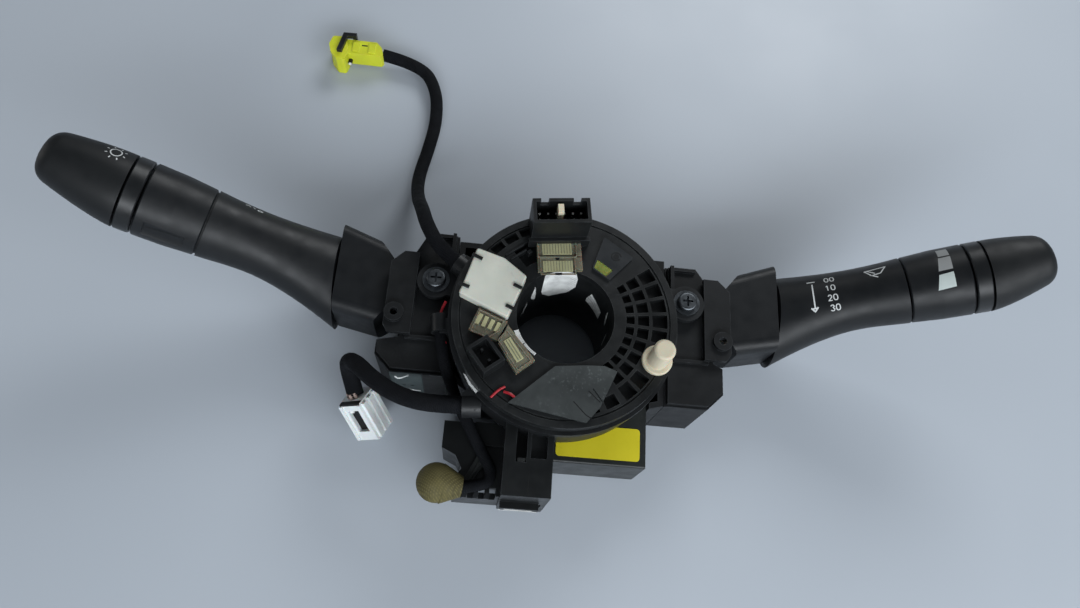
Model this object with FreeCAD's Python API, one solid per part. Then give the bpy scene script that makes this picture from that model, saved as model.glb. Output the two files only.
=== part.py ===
import FreeCAD, Part
import math
import os

# Combination switch of a steering column, lying on its back.
# A spiral cable in the middle carries the wheel's wiring from the turning rotor to the fixed
# stator. A steering angle sensor sits under it, and a lamp lever and a wiper lever swing in
# switch cases on its two sides. Z is the steering axis and points at the steering wheel,
# X points from the lamp lever to the wiper lever, and z = 0 is the back face.
# Lengths are millimetres and angles are degrees.

V = FreeCAD.Vector

# Measuring gears of the steering angle sensor
GEAR_MODULE = 1.0
DRIVE_TEETH = 52
GEAR_A_TEETH = 14
GEAR_B_TEETH = 15
DRIVE_R = GEAR_MODULE * DRIVE_TEETH / 2

# Clearances
RUN_FIT = 0.06
SLIDE_GAP = 0.3
SEAM = 0.4

# Spiral cable stator
STATOR_R = 43.0
STATOR_WALL = 2.0
STATOR_FLOOR = 2.0
STATOR_TOP = 52.4
STATOR_LIP_R = STATOR_R + 1.2
STATOR_LIP = 3.2
EAR_R = 7.5
EAR_THICK = 2.4

# Column base
BASE_FLOOR = 3.0
BASE_TOP = 34.0
BASE_HALF_X = STATOR_R + SLIDE_GAP
BASE_NEAR_Y = -20.3
BASE_REAR_Y = 38.0
BASE_WALL = 2.4
SAS_R = DRIVE_R + 5.0
BASE_RING_R = SAS_R + SLIDE_GAP
BASE_RING_WALL = 2.5
COLUMN_BORE_R = 24.0
COLUMN_COLLAR_TOP = 8.5

# Rotor
ROTOR_R = STATOR_R - 0.2
ROTOR_BORE_R = 18.6
SLEEVE_WALL = 2.2
ROTOR_GAP = 0.6
ROTOR_DISC = 1.6
ROTOR_FRAME = 3.1
SLEEVE_BOTTOM = 9.5
RIM_WIDTH = 2.6
SLEEVE_R = ROTOR_BORE_R + SLEEVE_WALL

# Flat cable between the rotor's sleeve and the stator's wall
CABLE_COIL_TURNS = 4
CABLE_COIL_INNER_R = SLEEVE_R + 3.2
CABLE_COIL_PITCH = 2.4
CABLE_THICK = 0.5

# Rotor pockets, as rows of inner radius, outer radius, first angle, pitch and count
POCKET_RIB = 1.1
POCKET_PITCH = 10.0
RIGHT_FIRST = -48.0
RIGHT_COUNT = 9
REAR_FIRST = 117.0
REAR_COUNT = 3

# Steering angle sensor
SAS_BOTTOM = 13.5
SAS_TOP = 30.0
SAS_SEAM_Z = 21.2
SAS_BORE_R = SLEEVE_R + 1.4
SAS_WALL = 1.8
SAS_LEFT_X = 0.8
SAS_RIGHT_X = 37.2
SAS_NEAR_Y = -49.6
SAS_REAR_Y = -9.2
SAS_DEEP_Y = -38.5
SAS_DEEP_Z = 3.0
GEAR_BOTTOM = 16.2
GEAR_WIDTH = 4.0
GEAR_A_ANGLE = -68.0
GEAR_B_ANGLE = -38.0
GEAR_BACKLASH = 0.12
GEAR_POST_R = 2.0
LABEL_THICK = 0.2

# Cancel cam and pawl
CAM_HEIGHT = 3.0
CAM_R = SLEEVE_R + 3.4
CAM_LOBE_R = CAM_R + 2.6
PAWL_WIDTH = 6.0
PAWL_REST_X = CAM_LOBE_R + 0.8
PAWL_LENGTH = BASE_HALF_X + 3.3 - PAWL_REST_X
PAWL_BOTTOM = 9.8
PAWL_HEIGHT = 2.4

# Switch cases
CASE_FLOOR = 2.4
CASE_WALL = 2.0
CASE_GAP = 0.3
CASE_COVER = 2.4
CASE_MOUTH_X = BASE_HALF_X + 20.5
CASE_MOUTH_NEAR = -6.0
CASE_MOUTH_REAR = 25.0
CASE_MOUTH_SILL = 5.6
CASE_MOUTH_MARGIN = 0.7
ROOF_X = CASE_MOUTH_X + 6.0
ROOF_RISE = 1.0
ROOF_THICK = 2.0
LEFT_CASE_X = BASE_HALF_X + 28.7
LEFT_CASE_NEAR = -20.3
LEFT_CASE_REAR = 40.0
RIGHT_CASE_X = BASE_HALF_X + 24.3
RIGHT_CASE_NEAR = -25.2
RIGHT_CASE_REAR = 35.0
CASE_CHAMFER = 6.6

# Screws and bosses
SCREW_X = STATOR_R + 8.0
SCREW_Y = 17.0
SCREW_R = 1.9
SCREW_HEAD_R = 4.0
SCREW_HEAD = 2.2
WASHER_R = 5.4
WASHER_THICK = 0.8
SCREW_BOSS_R = 6.4
EAR_SEAT_Z = BASE_TOP + 4.0
COVER_HOLE_X = CASE_MOUTH_X + 2.2
COVER_HOLE_Y = 2.0
COVER_HOLE_R = 1.6
COVER_BOSS_R = 3.9
COVER_BOSS_TOP = BASE_TOP + 7.0

# Levers, as distances along an axis from the point where the flat root bends into the rising arm
LEVER_X = CASE_MOUTH_X + 30.0
LEVER_Y = 23.3
LEVER_Z = 22.0
LEVER_ANGLE = 15.33
LEVER_TILT = 3.3
ARM_ANGLE = 8.5
ARM_RISE = 24.0
PIVOT_S = -38.7
STALK_END_X = LEVER_X - 1.2
NECK_IN_X = CASE_MOUTH_X + 5.6
NECK_OUT_X = STALK_END_X - 1.0
NECK_THICK = 27.0
NECK_IN_HALF = 17.4
NECK_OUT_HALF = 19.2
NECK_NOSE_HALF = 10.8
FLARE_START = -14.0
FLARE_HALF_WIDE = 21.7
FLARE_HALF_HIGH = 15.2
FLARE_DROP = 4.0
WAIST_S = 32.0
WAIST_HALF_WIDE = 13.0
WAIST_HALF_HIGH = 12.7
RING_START = 54.6
RING_END = 78.5
INDEX_END = 84.9
LAMP_KNOB_LENGTH = 29.5
WIPER_KNOB_LENGTH = 25.0
KNOB_ROOT_R = 14.5
KNOB_TIP_R = 9.2
KNOB_EDGE = 5.0
KNOB_DRIFT = 2.9
LEVER_GROOVE = 0.7
RING_START_R = 13.8
RING_MID_R = 14.5
RING_END_R = 14.6
SCOOP_R = 9.0
SCOOP_DEPTH = 2.6
SCOOP_LIFT = 8.0
CORE_R = 6.0
CORE_END = INDEX_END + 12.0
ROOT_HALF_WIDTH = 6.0
ROOT_HALF_HEIGHT = 7.0
ROOT_TAIL = 8.0
CARRIER_R = 10.2
CARRIER_PLATE = 4.0
CARRIER_SLOT = 9.5
TRUNNION_R = 3.0
TRUNNION_HEIGHT = 1.8
CROSS_PIN_R = 2.0

# Parts on the rotor
PLUG_WIDTH = 21.7
PLUG_DEPTH = 10.2
PLUG_HEIGHT = 17.3
PLUG_WALL = 1.3
PLUG_ANGLE = 7.0
PLUG_CORNER = (-15.3, 28.9)
RETAINER_HEIGHT = 2.4
WHITE_COVER_HEIGHT = 4.2
SERVICE_COVER_HEIGHT = 1.2
WINDOW_PLATE_HEIGHT = 1.0
SOCKET_WIDTH = 11.4
SOCKET_DEPTH = 9.0
SOCKET_HEIGHT = 7.0
SOCKET_CENTRE = (-28.6, -19.6)
SOCKET_ANGLE = -51.0
PIN_X = 34.9
PIN_Y = -14.4
PIN_R = 4.0
PIN_FLANGE_R = 5.75
PIN_HEIGHT = 14.0

# Connector block on the stator
BLOCK_RIGHT_X = -0.4
BLOCK_TOWER_WIDTH = 18.2
BLOCK_TOWER_X = BLOCK_RIGHT_X - BLOCK_TOWER_WIDTH
BLOCK_LEFT_X = BLOCK_TOWER_X - 23.4
BLOCK_NEAR_Y = -STATOR_R - 22.8
BLOCK_REAR_Y = -37.0
BLOCK_BOTTOM = 4.0
BLOCK_TOWER_TOP = STATOR_TOP - 7.4
BLOCK_SHELF_TOP = 30.0
BLOCK_WALL = 1.8

# Leads, with routes as points chosen along the table and over the body
AIRBAG_LEAD_R = 3.0
AIRBAG_ROUTE = (
    (-41.5, 22.5, 44.4), (-50.0, 28.0, 45.0), (-57.0, 39.0, 44.0), (-61.0, 52.0, 34.0),
    (-65.5, 66.0, 17.0), (-68.0, 83.0, 4.4), (-65.0, 101.0, 3.1), (-63.0, 117.0, 3.1),
    (-65.0, 135.0, 3.1), (-74.0, 148.6, 3.6), (-93.4, 150.8, 5.4),
)
SWITCH_LEAD_R = 3.4
SWITCH_ROUTE = (
    (-33.5, -34.0, 45.0), (-47.0, -34.8, 44.5), (-59.5, -32.0, 42.0), (-70.5, -25.5, 38.0),
    (-79.0, -17.5, 33.0), (-83.4, -15.4, 26.0), (-82.2, -20.0, 19.4), (-79.0, -27.4, 18.2),
)
SHORT_LEAD_R = 2.3
SHORT_ROUTE = (
    (-47.2, -3.0, 40.4), (-45.8, -12.5, 40.2), (-41.8, -22.5, 38.0), (-37.6, -31.5, 36.2),
    (-31.5, -41.0, 35.5), (-26.0, -50.0, 34.0), (-21.7, -56.5, 32.9), (-25.0, -61.6, 32.7),
    (-35.0, -62.4, 33.0),
)
TAPE_CAP_R = 7.4
SWITCH_PLUG_WIDTH = 10.6
SWITCH_PLUG_HEIGHT = 11.1
SWITCH_PLUG_LENGTH = 18.7
SWITCH_PLUG_ROLL = 47.6
SWITCH_PLUG_DIP = 43.0
SWITCH_PLUG_TURN = 37.2
AIRBAG_HEAD_TOP = 11.0
AIRBAG_GRIP_BOTTOM = 2.0
AIRBAG_GRIP_TOP = 10.0
OUTLET_WALL = 1.4
OUTLET_LENGTH = 7.0


def cyl(r, z0, z1, x=0.0, y=0.0):
    """Upright cylinder."""
    return Part.makeCylinder(r, z1 - z0, V(x, y, z0))


def ring(r_in, r_out, z0, z1, x=0.0, y=0.0):
    """Upright ring with a through bore."""
    return cyl(r_out, z0, z1, x, y).cut(cyl(r_in, z0 - 1, z1 + 1, x, y))


def box(x0, x1, y0, y1, z0, z1):
    """Box between two corners."""
    return Part.makeBox(x1 - x0, y1 - y0, z1 - z0, V(x0, y0, z0))


def outline(points, z):
    """Closed polygon wire at one height."""
    corners = [V(x, y, z) for x, y in points]
    return Part.makePolygon(corners + corners[:1])


def slab(points, z0, z1):
    """Straight prism over a polygon."""
    return Part.Face(outline(points, z0)).extrude(V(0, 0, z1 - z0))


def inset_slab(points, inset, z0, z1):
    """Prism over a polygon drawn in by a wall's thickness."""
    inner = outline(points, z0).makeOffset2D(-inset)
    return Part.Face(inner).extrude(V(0, 0, z1 - z0))


def upright_edges(shape):
    """Edges that stand along Z."""
    found = []
    for edge in shape.Edges:
        ends = edge.Vertexes
        if len(ends) != 2:
            continue
        step = ends[1].Point - ends[0].Point
        if abs(step.x) < 1e-6 and abs(step.y) < 1e-6:
            found.append(edge)
    return found


def soft_slab(points, radius, z0, z1):
    """Prism over a polygon with rounded corners."""
    body = slab(points, z0, z1)
    return body.makeFillet(radius, upright_edges(body))


def polar(r, angle):
    """Point on a circle about the steering axis."""
    turn = math.radians(angle)
    return r * math.cos(turn), r * math.sin(turn)


def sector(r_in, r_out, a0, a1, z0, z1):
    """Piece of a ring between two angles."""
    mid = (a0 + a1) / 2

    def spot(r, angle):
        x, y = polar(r, angle)
        return V(x, y, z0)

    edges = [
        Part.Arc(spot(r_out, a0), spot(r_out, mid), spot(r_out, a1)).toShape(),
        Part.LineSegment(spot(r_out, a1), spot(r_in, a1)).toShape(),
        Part.Arc(spot(r_in, a1), spot(r_in, mid), spot(r_in, a0)).toShape(),
        Part.LineSegment(spot(r_in, a0), spot(r_out, a0)).toShape(),
    ]
    return Part.Face(Part.Wire(edges)).extrude(V(0, 0, z1 - z0))


def union(shapes):
    """All shapes fused into one solid."""
    first, *rest = shapes
    return first.fuse(rest).removeSplitter() if rest else first


def turned(shape, angle, x=0.0, y=0.0):
    """Copy turned about an upright axis."""
    copy = shape.copy()
    copy.rotate(V(x, y, 0), V(0, 0, 1), angle)
    return copy


def moved(shape, x=0.0, y=0.0, z=0.0):
    """Copy moved along the axes."""
    copy = shape.copy()
    copy.translate(V(x, y, z))
    return copy


def mirrored(shape):
    """Copy for the other side of the column."""
    return shape.mirror(V(0, 0, 0), V(1, 0, 0))


def on_side(shape, side):
    """The shape on the wiper side, or its mirror image on the lamp side."""
    return shape if side > 0 else mirrored(shape)


# Lever frames: local Z runs out along the flat root or the rising arm, X to the rear and Y up


def lever_matrix(angle, tilt):
    """Matrix from a frame at the lever's bend to the wiper side of the part."""
    a = math.radians(angle)
    b = math.radians(tilt)
    out = V(math.cos(a) * math.cos(b), math.sin(a) * math.cos(b), math.sin(b))
    rear = V(-math.sin(a), math.cos(a), 0)
    up = out.cross(rear)
    return FreeCAD.Matrix(
        rear.x, up.x, out.x, LEVER_X,
        rear.y, up.y, out.y, LEVER_Y,
        rear.z, up.z, out.z, LEVER_Z,
        0, 0, 0, 1,
    )


def placed_in(matrix, shape, side):
    """Shape drawn in a frame, put in its place."""
    placed = shape.copy()
    placed.Placement = FreeCAD.Placement(matrix).multiply(placed.Placement)
    return on_side(placed, side)


def to_root(shape, side):
    """Shape drawn in the flat root's frame, put in its place."""
    return placed_in(lever_matrix(LEVER_ANGLE, LEVER_TILT), shape, side)


def to_arm(shape, side):
    """Shape drawn in the rising arm's frame, put in its place."""
    return placed_in(lever_matrix(ARM_ANGLE, ARM_RISE), shape, side)


def root_point(x, y, s):
    """Point of the root's frame, on the wiper side of the part."""
    return lever_matrix(LEVER_ANGLE, LEVER_TILT).multVec(V(x, y, s))


PIVOT = root_point(0, 0, PIVOT_S)


def oval(centre, half_width, half_height, s):
    """Wire of an ellipse across the lever."""
    if half_width >= half_height:
        curve = Part.Ellipse(V(centre, 0, s), half_width, half_height)
    else:
        curve = Part.Ellipse(V(centre, 0, s), half_height, half_width)
        curve.rotate(FreeCAD.Placement(V(), FreeCAD.Rotation(V(0, 0, 1), 90), V(centre, 0, s)))
    return Part.Wire(curve.toShape())


def stalk_sections():
    """Sections of the stalk from its flared end, over its waist, to the ring."""
    rows = []
    steps = 4
    for k in range(steps + 1):
        left = 1 - k / steps
        swell = left ** 1.5
        rows.append((
            WAIST_S + left * (FLARE_START - WAIST_S), -FLARE_DROP * swell,
            WAIST_HALF_WIDE + (FLARE_HALF_WIDE - WAIST_HALF_WIDE) * swell,
            WAIST_HALF_HIGH + (FLARE_HALF_HIGH - WAIST_HALF_HIGH) * swell,
        ))
    end = RING_START - LEVER_GROOVE
    rows.append(((WAIST_S + end) / 2, 0.0, WAIST_HALF_WIDE + 0.1, WAIST_HALF_HIGH + 0.3))
    rows.append((end, 0.0, RING_START_R, RING_START_R - 0.05))
    return rows


def loft(sections):
    """Smooth solid through ovals across the lever."""
    wires = [oval(centre, wide, high, s) for s, centre, wide, high in sections]
    return Part.makeLoft(wires, True, False)


def stalk(side):
    """Flared lever arm, cut square to the column at its root, bored for its core."""
    body = to_arm(loft(stalk_sections()), 1)
    keep = box(STALK_END_X, 2 * LEVER_X, -60, 120, -40, 90)
    bore = to_arm(Part.makeCylinder(CORE_R, 160, V(0, 0, -40)), 1)
    return on_side(body.common(keep).cut(bore), side)


def neck_middle(x):
    """Point of the root's axis at a distance from the column."""
    return root_point(0, 0, (x - LEVER_X) / math.cos(math.radians(LEVER_ANGLE)))


def neck():
    """Collar between the switch case and the flared arm, with a tapered inner nose."""
    wires = []
    for x, half in ((NECK_IN_X, NECK_IN_HALF), (NECK_OUT_X, NECK_OUT_HALF)):
        middle = neck_middle(x)
        low = middle.z - NECK_THICK / 2
        corners = [V(x, middle.y + sy * half, low + sz * NECK_THICK)
                   for sy, sz in ((-1, 0), (1, 0), (1, 1), (-1, 1))]
        wires.append(Part.makePolygon(corners + corners[:1]))
    body = Part.makeLoft(wires, True, True)
    long_edges = [e for e in body.Edges if abs(e.Vertexes[0].X - e.Vertexes[1].X) > 5]
    body = body.makeFillet(5.0, long_edges)
    nose = neck_middle(NECK_IN_X).y
    shoulder = NECK_IN_X + NECK_IN_HALF - NECK_NOSE_HALF
    plan = [
        (NECK_IN_X, nose - NECK_NOSE_HALF), (shoulder, nose - NECK_IN_HALF),
        (NECK_OUT_X, nose - 40), (NECK_OUT_X, nose + 40),
        (shoulder, nose + NECK_IN_HALF + 1.8), (NECK_IN_X, nose + NECK_NOSE_HALF),
    ]
    return body.common(slab(plan, -20, 80))


def lever_root(side):
    """Root bar with its pivot bore, the collar, and the core that carries the rings."""
    length = lever_root_length()
    bar = Part.makeBox(2 * ROOT_HALF_WIDTH, 2 * ROOT_HALF_HEIGHT, length,
                       V(-ROOT_HALF_WIDTH, -ROOT_HALF_HEIGHT, PIVOT_S - ROOT_TAIL))
    bore = Part.makeCylinder(CROSS_PIN_R + RUN_FIT, 4 * ROOT_HALF_WIDTH,
                             V(-2 * ROOT_HALF_WIDTH, 0, PIVOT_S), V(1, 0, 0))
    core = Part.makeCylinder(CORE_R, CORE_END + 12, V(0, 0, -12))
    body = union([to_root(bar.cut(bore), 1), neck(), to_arm(core, 1)])
    return on_side(body, side)


def lever_root_length():
    """Length of the root bar from its tail into the collar."""
    return ROOT_TAIL - PIVOT_S - 12.0


def carrier(side):
    """Turning carrier with trunnions, forked round the root bar."""
    low = PIVOT.z - CARRIER_SLOT - CARRIER_PLATE
    high = PIVOT.z + CARRIER_SLOT + CARRIER_PLATE
    drum = cyl(CARRIER_R, low, high, PIVOT.x, PIVOT.y)
    half = ROOT_HALF_WIDTH + SLIDE_GAP
    slot = Part.makeBox(2 * half, 2 * CARRIER_SLOT, ROOT_TAIL + 1.5 + 3 * CARRIER_R,
                        V(-half, -CARRIER_SLOT, PIVOT_S - ROOT_TAIL - 1.5))
    pin_hole = Part.makeCylinder(CROSS_PIN_R, 4 * CARRIER_R,
                                 V(-2 * CARRIER_R, 0, PIVOT_S), V(1, 0, 0))
    drum = drum.cut(to_root(slot, 1)).cut(to_root(pin_hole, 1))
    foot = cyl(TRUNNION_R, low - TRUNNION_HEIGHT, low, PIVOT.x, PIVOT.y)
    head = cyl(TRUNNION_R, high, high + TRUNNION_HEIGHT, PIVOT.x, PIVOT.y)
    return on_side(union([drum, foot, head]), side)


def cross_pin(side):
    """Pin that the lever nods on."""
    half = CARRIER_R - 1.0
    pin = Part.makeCylinder(CROSS_PIN_R, 2 * half, V(-half, 0, PIVOT_S), V(1, 0, 0))
    return to_root(pin, side)


def turned_ring(profile):
    """Ring about the lever axis from radius and station points, bored for the core."""
    points = [V(r, 0, s) for r, s in profile]
    bore = CORE_R + RUN_FIT
    loop = [V(bore, 0, points[0].z)] + points + [V(bore, 0, points[-1].z)]
    face = Part.Face(Part.makePolygon(loop + loop[:1]))
    return face.revolve(V(0, 0, 0), V(0, 0, 1), 360)


def rotary_ring():
    """Plain twist ring of a lever."""
    edge = 0.5
    start = RING_START
    end = RING_END - LEVER_GROOVE
    middle = (start + end) / 2
    return turned_ring((
        (RING_START_R - edge, start), (RING_START_R, start + edge), (RING_MID_R, middle),
        (RING_END_R, end - edge), (RING_END_R - edge, end),
    ))


def fog_ring():
    """Twist ring with a scooped finger rest on its near side."""
    margin = 4.5
    scoop = Part.makeCylinder(SCOOP_R, RING_END - RING_START - 2 * margin,
                              V(-RING_MID_R - SCOOP_R + SCOOP_DEPTH, SCOOP_LIFT, RING_START + margin))
    return to_arm(rotary_ring().cut(scoop), -1)


def index_ring(side):
    """Narrow fixed ring between the twist ring and the end knob."""
    edge = 0.4
    end = INDEX_END - LEVER_GROOVE
    profile = ((RING_END_R - edge, RING_END), (RING_END_R, RING_END + edge),
               (RING_END_R, end - edge), (RING_END_R - edge, end))
    body = turned_ring(profile)
    shared = Part.makeCylinder(CORE_R + RUN_FIT, 40, V(0, 0, RING_END - 10))
    core = Part.makeCylinder(CORE_R, 40, V(0, 0, RING_END - 10))
    sleeve = shared.cut(core).common(Part.makeBox(60, 60, end - RING_END, V(-30, -30, RING_END)))
    return to_arm(union([body, sleeve]), side)


def knob_radius(share):
    """Radius of the end knob at a share of its length."""
    return KNOB_ROOT_R - (KNOB_ROOT_R - KNOB_TIP_R) * max(share, 0.0) ** 1.45


def end_knob(side):
    """Tapered twist knob, turned about an axis that leans to the rear, bored for the core."""
    length = LAMP_KNOB_LENGTH if side < 0 else WIPER_KNOB_LENGTH
    tip = INDEX_END + length
    bottom = INDEX_END - 3.0
    shoulder = tip - KNOB_EDGE
    flank = [V(KNOB_ROOT_R, 0, bottom)]
    for k in range(6):
        s = INDEX_END + (shoulder - INDEX_END) * k / 5
        flank.append(V(knob_radius((s - INDEX_END) / length), 0, s))
    side_curve = Part.BSplineCurve()
    side_curve.interpolate(flank)
    way = side_curve.tangent(side_curve.LastParameter)[0]
    rim = Part.BezierCurve()
    rim.setPoles([flank[-1], flank[-1] + way * KNOB_EDGE * 0.62,
                  V(knob_radius(1) - KNOB_EDGE * 0.35, 0, tip), V(knob_radius(1) - KNOB_EDGE, 0, tip)])
    edges = [
        Part.LineSegment(V(0, 0, bottom), flank[0]).toShape(), side_curve.toShape(), rim.toShape(),
        Part.LineSegment(V(knob_radius(1) - KNOB_EDGE, 0, tip), V(0, 0, tip)).toShape(),
        Part.LineSegment(V(0, 0, tip), V(0, 0, bottom)).toShape(),
    ]
    body = Part.Face(Part.Wire(edges)).revolve(V(0, 0, 0), V(0, 0, 1), 360)
    lean = math.degrees(math.atan2(KNOB_DRIFT, length))
    body.rotate(V(0, 0, INDEX_END), V(0, 1, 0), lean)
    body = body.cut(Part.makeBox(80, 80, 20, V(-40, -40, INDEX_END - 20)))
    bore = Part.makeCylinder(CORE_R + RUN_FIT, CORE_END + SLIDE_GAP - INDEX_END + 1,
                             V(0, 0, INDEX_END - 1))
    return to_arm(body.cut(bore), side)


# Column base


def base_outline():
    """Plan of the column base between the switch cases."""
    return [
        (-BASE_HALF_X, BASE_NEAR_Y), (-BASE_RING_R, BASE_NEAR_Y - 8), (BASE_RING_R, BASE_NEAR_Y - 8),
        (BASE_HALF_X, RIGHT_CASE_NEAR), (BASE_HALF_X, BASE_REAR_Y), (-BASE_HALF_X, BASE_REAR_Y),
    ]


def column_base():
    """Ribbed tray with the column collar and the ring wall that holds the sensor."""
    plan = base_outline()
    shell = slab(plan, 0, BASE_TOP).cut(inset_slab(plan, BASE_WALL, BASE_FLOOR, BASE_TOP + 1))
    shell = shell.cut(cyl(BASE_RING_R, BASE_FLOOR, BASE_TOP + 1))
    ring_out = BASE_RING_R + BASE_RING_WALL
    wall = ring(BASE_RING_R, ring_out, 0, BASE_TOP)
    ribs = []
    for angle in (30, 60, 120, 150, 210):
        rib = sector(BASE_RING_R + 1, 50, angle - 1.2, angle + 1.2, 0, BASE_TOP - 2)
        ribs.append(rib.common(slab(plan, 0, BASE_TOP)))
    floor = cyl(ring_out, 0, BASE_FLOOR)
    collar = cyl(COLUMN_BORE_R + 3, 0, COLUMN_COLLAR_TOP)
    ledges = [sector(SAS_BORE_R + 5.4, ring_out - 0.5, a - 6, a + 6, 0, SAS_BOTTOM)
              for a in (45, 135, 225)]
    body = union([shell, wall, floor, collar] + ribs + ledges)
    body = body.cut(cyl(COLUMN_BORE_R, -1, COLUMN_COLLAR_TOP + 1))
    room = box(SAS_LEFT_X - SLIDE_GAP, SAS_RIGHT_X + SLIDE_GAP, -60, 0, SAS_BOTTOM - SLIDE_GAP, 60)
    room = room.common(cyl(70, 0, 60)).cut(cyl(SAS_R - 2, 0, 60))
    deep = box(SAS_LEFT_X - SLIDE_GAP, SAS_RIGHT_X + SLIDE_GAP, -60,
               SAS_DEEP_Y + SLIDE_GAP, -1, 60)
    track = box(-PAWL_REST_X - PAWL_LENGTH - 5, -PAWL_REST_X + 8, -PAWL_WIDTH / 2 - RUN_FIT,
                PAWL_WIDTH / 2 + RUN_FIT, PAWL_BOTTOM - RUN_FIT,
                PAWL_BOTTOM + PAWL_HEIGHT + RUN_FIT)
    pawl_bed = box(-BASE_HALF_X + 1, -BASE_RING_R + 1, -PAWL_WIDTH / 2 - 2,
                   PAWL_WIDTH / 2 + 2, 0, SAS_BOTTOM - 0.5)
    return body.cut(room).cut(deep).fuse(pawl_bed).cut(track).removeSplitter()


def cancel_pawl():
    """Sliding pawl between the cancel cam and the lamp lever."""
    end = -PAWL_REST_X
    body = box(end - PAWL_LENGTH, end, -PAWL_WIDTH / 2, PAWL_WIDTH / 2,
               PAWL_BOTTOM, PAWL_BOTTOM + PAWL_HEIGHT)
    nose = [e for e in upright_edges(body) if e.BoundBox.XMax > end - 0.1]
    return body.makeFillet(2.0, nose)


# Switch cases


def case_points(side_x, near_y, rear_y):
    """Plan of a switch case on the wiper side."""
    inner = BASE_HALF_X + CASE_GAP
    return [
        (inner, near_y), (side_x - CASE_CHAMFER, near_y), (side_x, near_y + CASE_CHAMFER),
        (side_x, CASE_MOUTH_NEAR - 2), (CASE_MOUTH_X, CASE_MOUTH_NEAR),
        (CASE_MOUTH_X, CASE_MOUTH_REAR), (CASE_MOUTH_X - 7.0, rear_y), (inner, rear_y),
    ]


def plan_of(side):
    """Plan of one side's case."""
    if side < 0:
        return case_points(LEFT_CASE_X, LEFT_CASE_NEAR, LEFT_CASE_REAR)
    return case_points(RIGHT_CASE_X, RIGHT_CASE_NEAR, RIGHT_CASE_REAR)


def trunnion_seat_z():
    """Height of the lower trunnion boss."""
    return PIVOT.z - CARRIER_SLOT - CARRIER_PLATE - 0.1


def switch_case(side):
    """Open moulded box with a mouth for the lever and a seat for its carrier."""
    plan = plan_of(side)
    body = slab(plan, 0, BASE_TOP).cut(inset_slab(plan, CASE_WALL, CASE_FLOOR, BASE_TOP + 1))
    reach = CARRIER_R + CASE_MOUTH_MARGIN
    mouth = box(PIVOT.x, CASE_MOUTH_X + 8, PIVOT.y - reach, PIVOT.y + reach,
                CASE_MOUTH_SILL, BASE_TOP + 1)
    seat = cyl(TRUNNION_R + 2.5, CASE_FLOOR - 1, trunnion_seat_z(), PIVOT.x, PIVOT.y)
    body = union([body, seat])
    bore = cyl(TRUNNION_R + RUN_FIT, trunnion_seat_z() - TRUNNION_HEIGHT - 0.4, 20,
               PIVOT.x, PIVOT.y)
    body = body.cut(mouth).cut(bore)
    if side < 0:
        window = box(BASE_HALF_X - 1, BASE_HALF_X + 5, -PAWL_WIDTH / 2 - 0.5, PAWL_WIDTH / 2 + 0.5,
                     PAWL_BOTTOM - 0.5, PAWL_BOTTOM + PAWL_HEIGHT + 0.5)
        body = body.cut(window)
    return on_side(body, side)


def switch_cover(side):
    """Lid with the screw boss, the trunnion seat and the trim fixing."""
    plan = plan_of(side)
    top = BASE_TOP + CASE_COVER
    body = inset_slab(plan, 0.8, BASE_TOP, top)
    boss = cyl(SCREW_BOSS_R, BASE_TOP, EAR_SEAT_Z, SCREW_X, SCREW_Y)
    post = cyl(COVER_BOSS_R, top + ROOF_RISE, COVER_BOSS_TOP, COVER_HOLE_X, COVER_HOLE_Y)
    body = union([body, boss, post] + cover_roof() + cover_ribs(side))
    body = body.cut(cyl(TRUNNION_R + RUN_FIT, BASE_TOP - 1, trunnion_top(), PIVOT.x, PIVOT.y))
    body = body.cut(cyl(SCREW_R, BASE_TOP + 0.9, 60, SCREW_X, SCREW_Y))
    body = body.cut(cyl(COVER_HOLE_R, BASE_TOP - 1, 60, COVER_HOLE_X, COVER_HOLE_Y))
    return on_side(body, side)


def trunnion_top():
    """Height that the upper trunnion bore reaches."""
    return PIVOT.z + CARRIER_SLOT + CARRIER_PLATE + TRUNNION_HEIGHT + 0.2


def cover_roof():
    """Raised roof over the lever's collar, with the riser that carries it."""
    low = BASE_TOP + CASE_COVER + ROOF_RISE
    high = low + ROOF_THICK
    inner = CASE_MOUTH_X - 5
    plan = [
        (inner, CASE_MOUTH_NEAR), (ROOF_X - 2, CASE_MOUTH_NEAR), (ROOF_X, CASE_MOUTH_NEAR + 3),
        (ROOF_X, CASE_MOUTH_REAR - 1), (ROOF_X - 5, CASE_MOUTH_REAR + 4),
        (inner, CASE_MOUTH_REAR + 4),
    ]
    riser = box(inner, CASE_MOUTH_X - 2.4, CASE_MOUTH_NEAR, CASE_MOUTH_REAR - 1, BASE_TOP, high)
    return [slab(plan, low, high), riser]


def cover_ribs(side):
    """Raised ribs that stiffen a lid."""
    top = BASE_TOP + CASE_COVER
    inner = BASE_HALF_X + CASE_GAP
    rear = (LEFT_CASE_REAR if side < 0 else RIGHT_CASE_REAR) - 1.2
    return [
        box(inner + 1.2, inner + 2.6, SCREW_Y + 6, rear, top - 0.5, top + 3.4),
        box(inner + 1.2, CASE_MOUTH_X - 8, rear - 1.4, rear, top - 0.5, top + 1.6),
        box(inner + 3.0, CASE_MOUTH_X - 3, CASE_MOUTH_NEAR - 1.4, CASE_MOUTH_NEAR, top - 0.5,
            top + 1.2),
    ]


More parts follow.
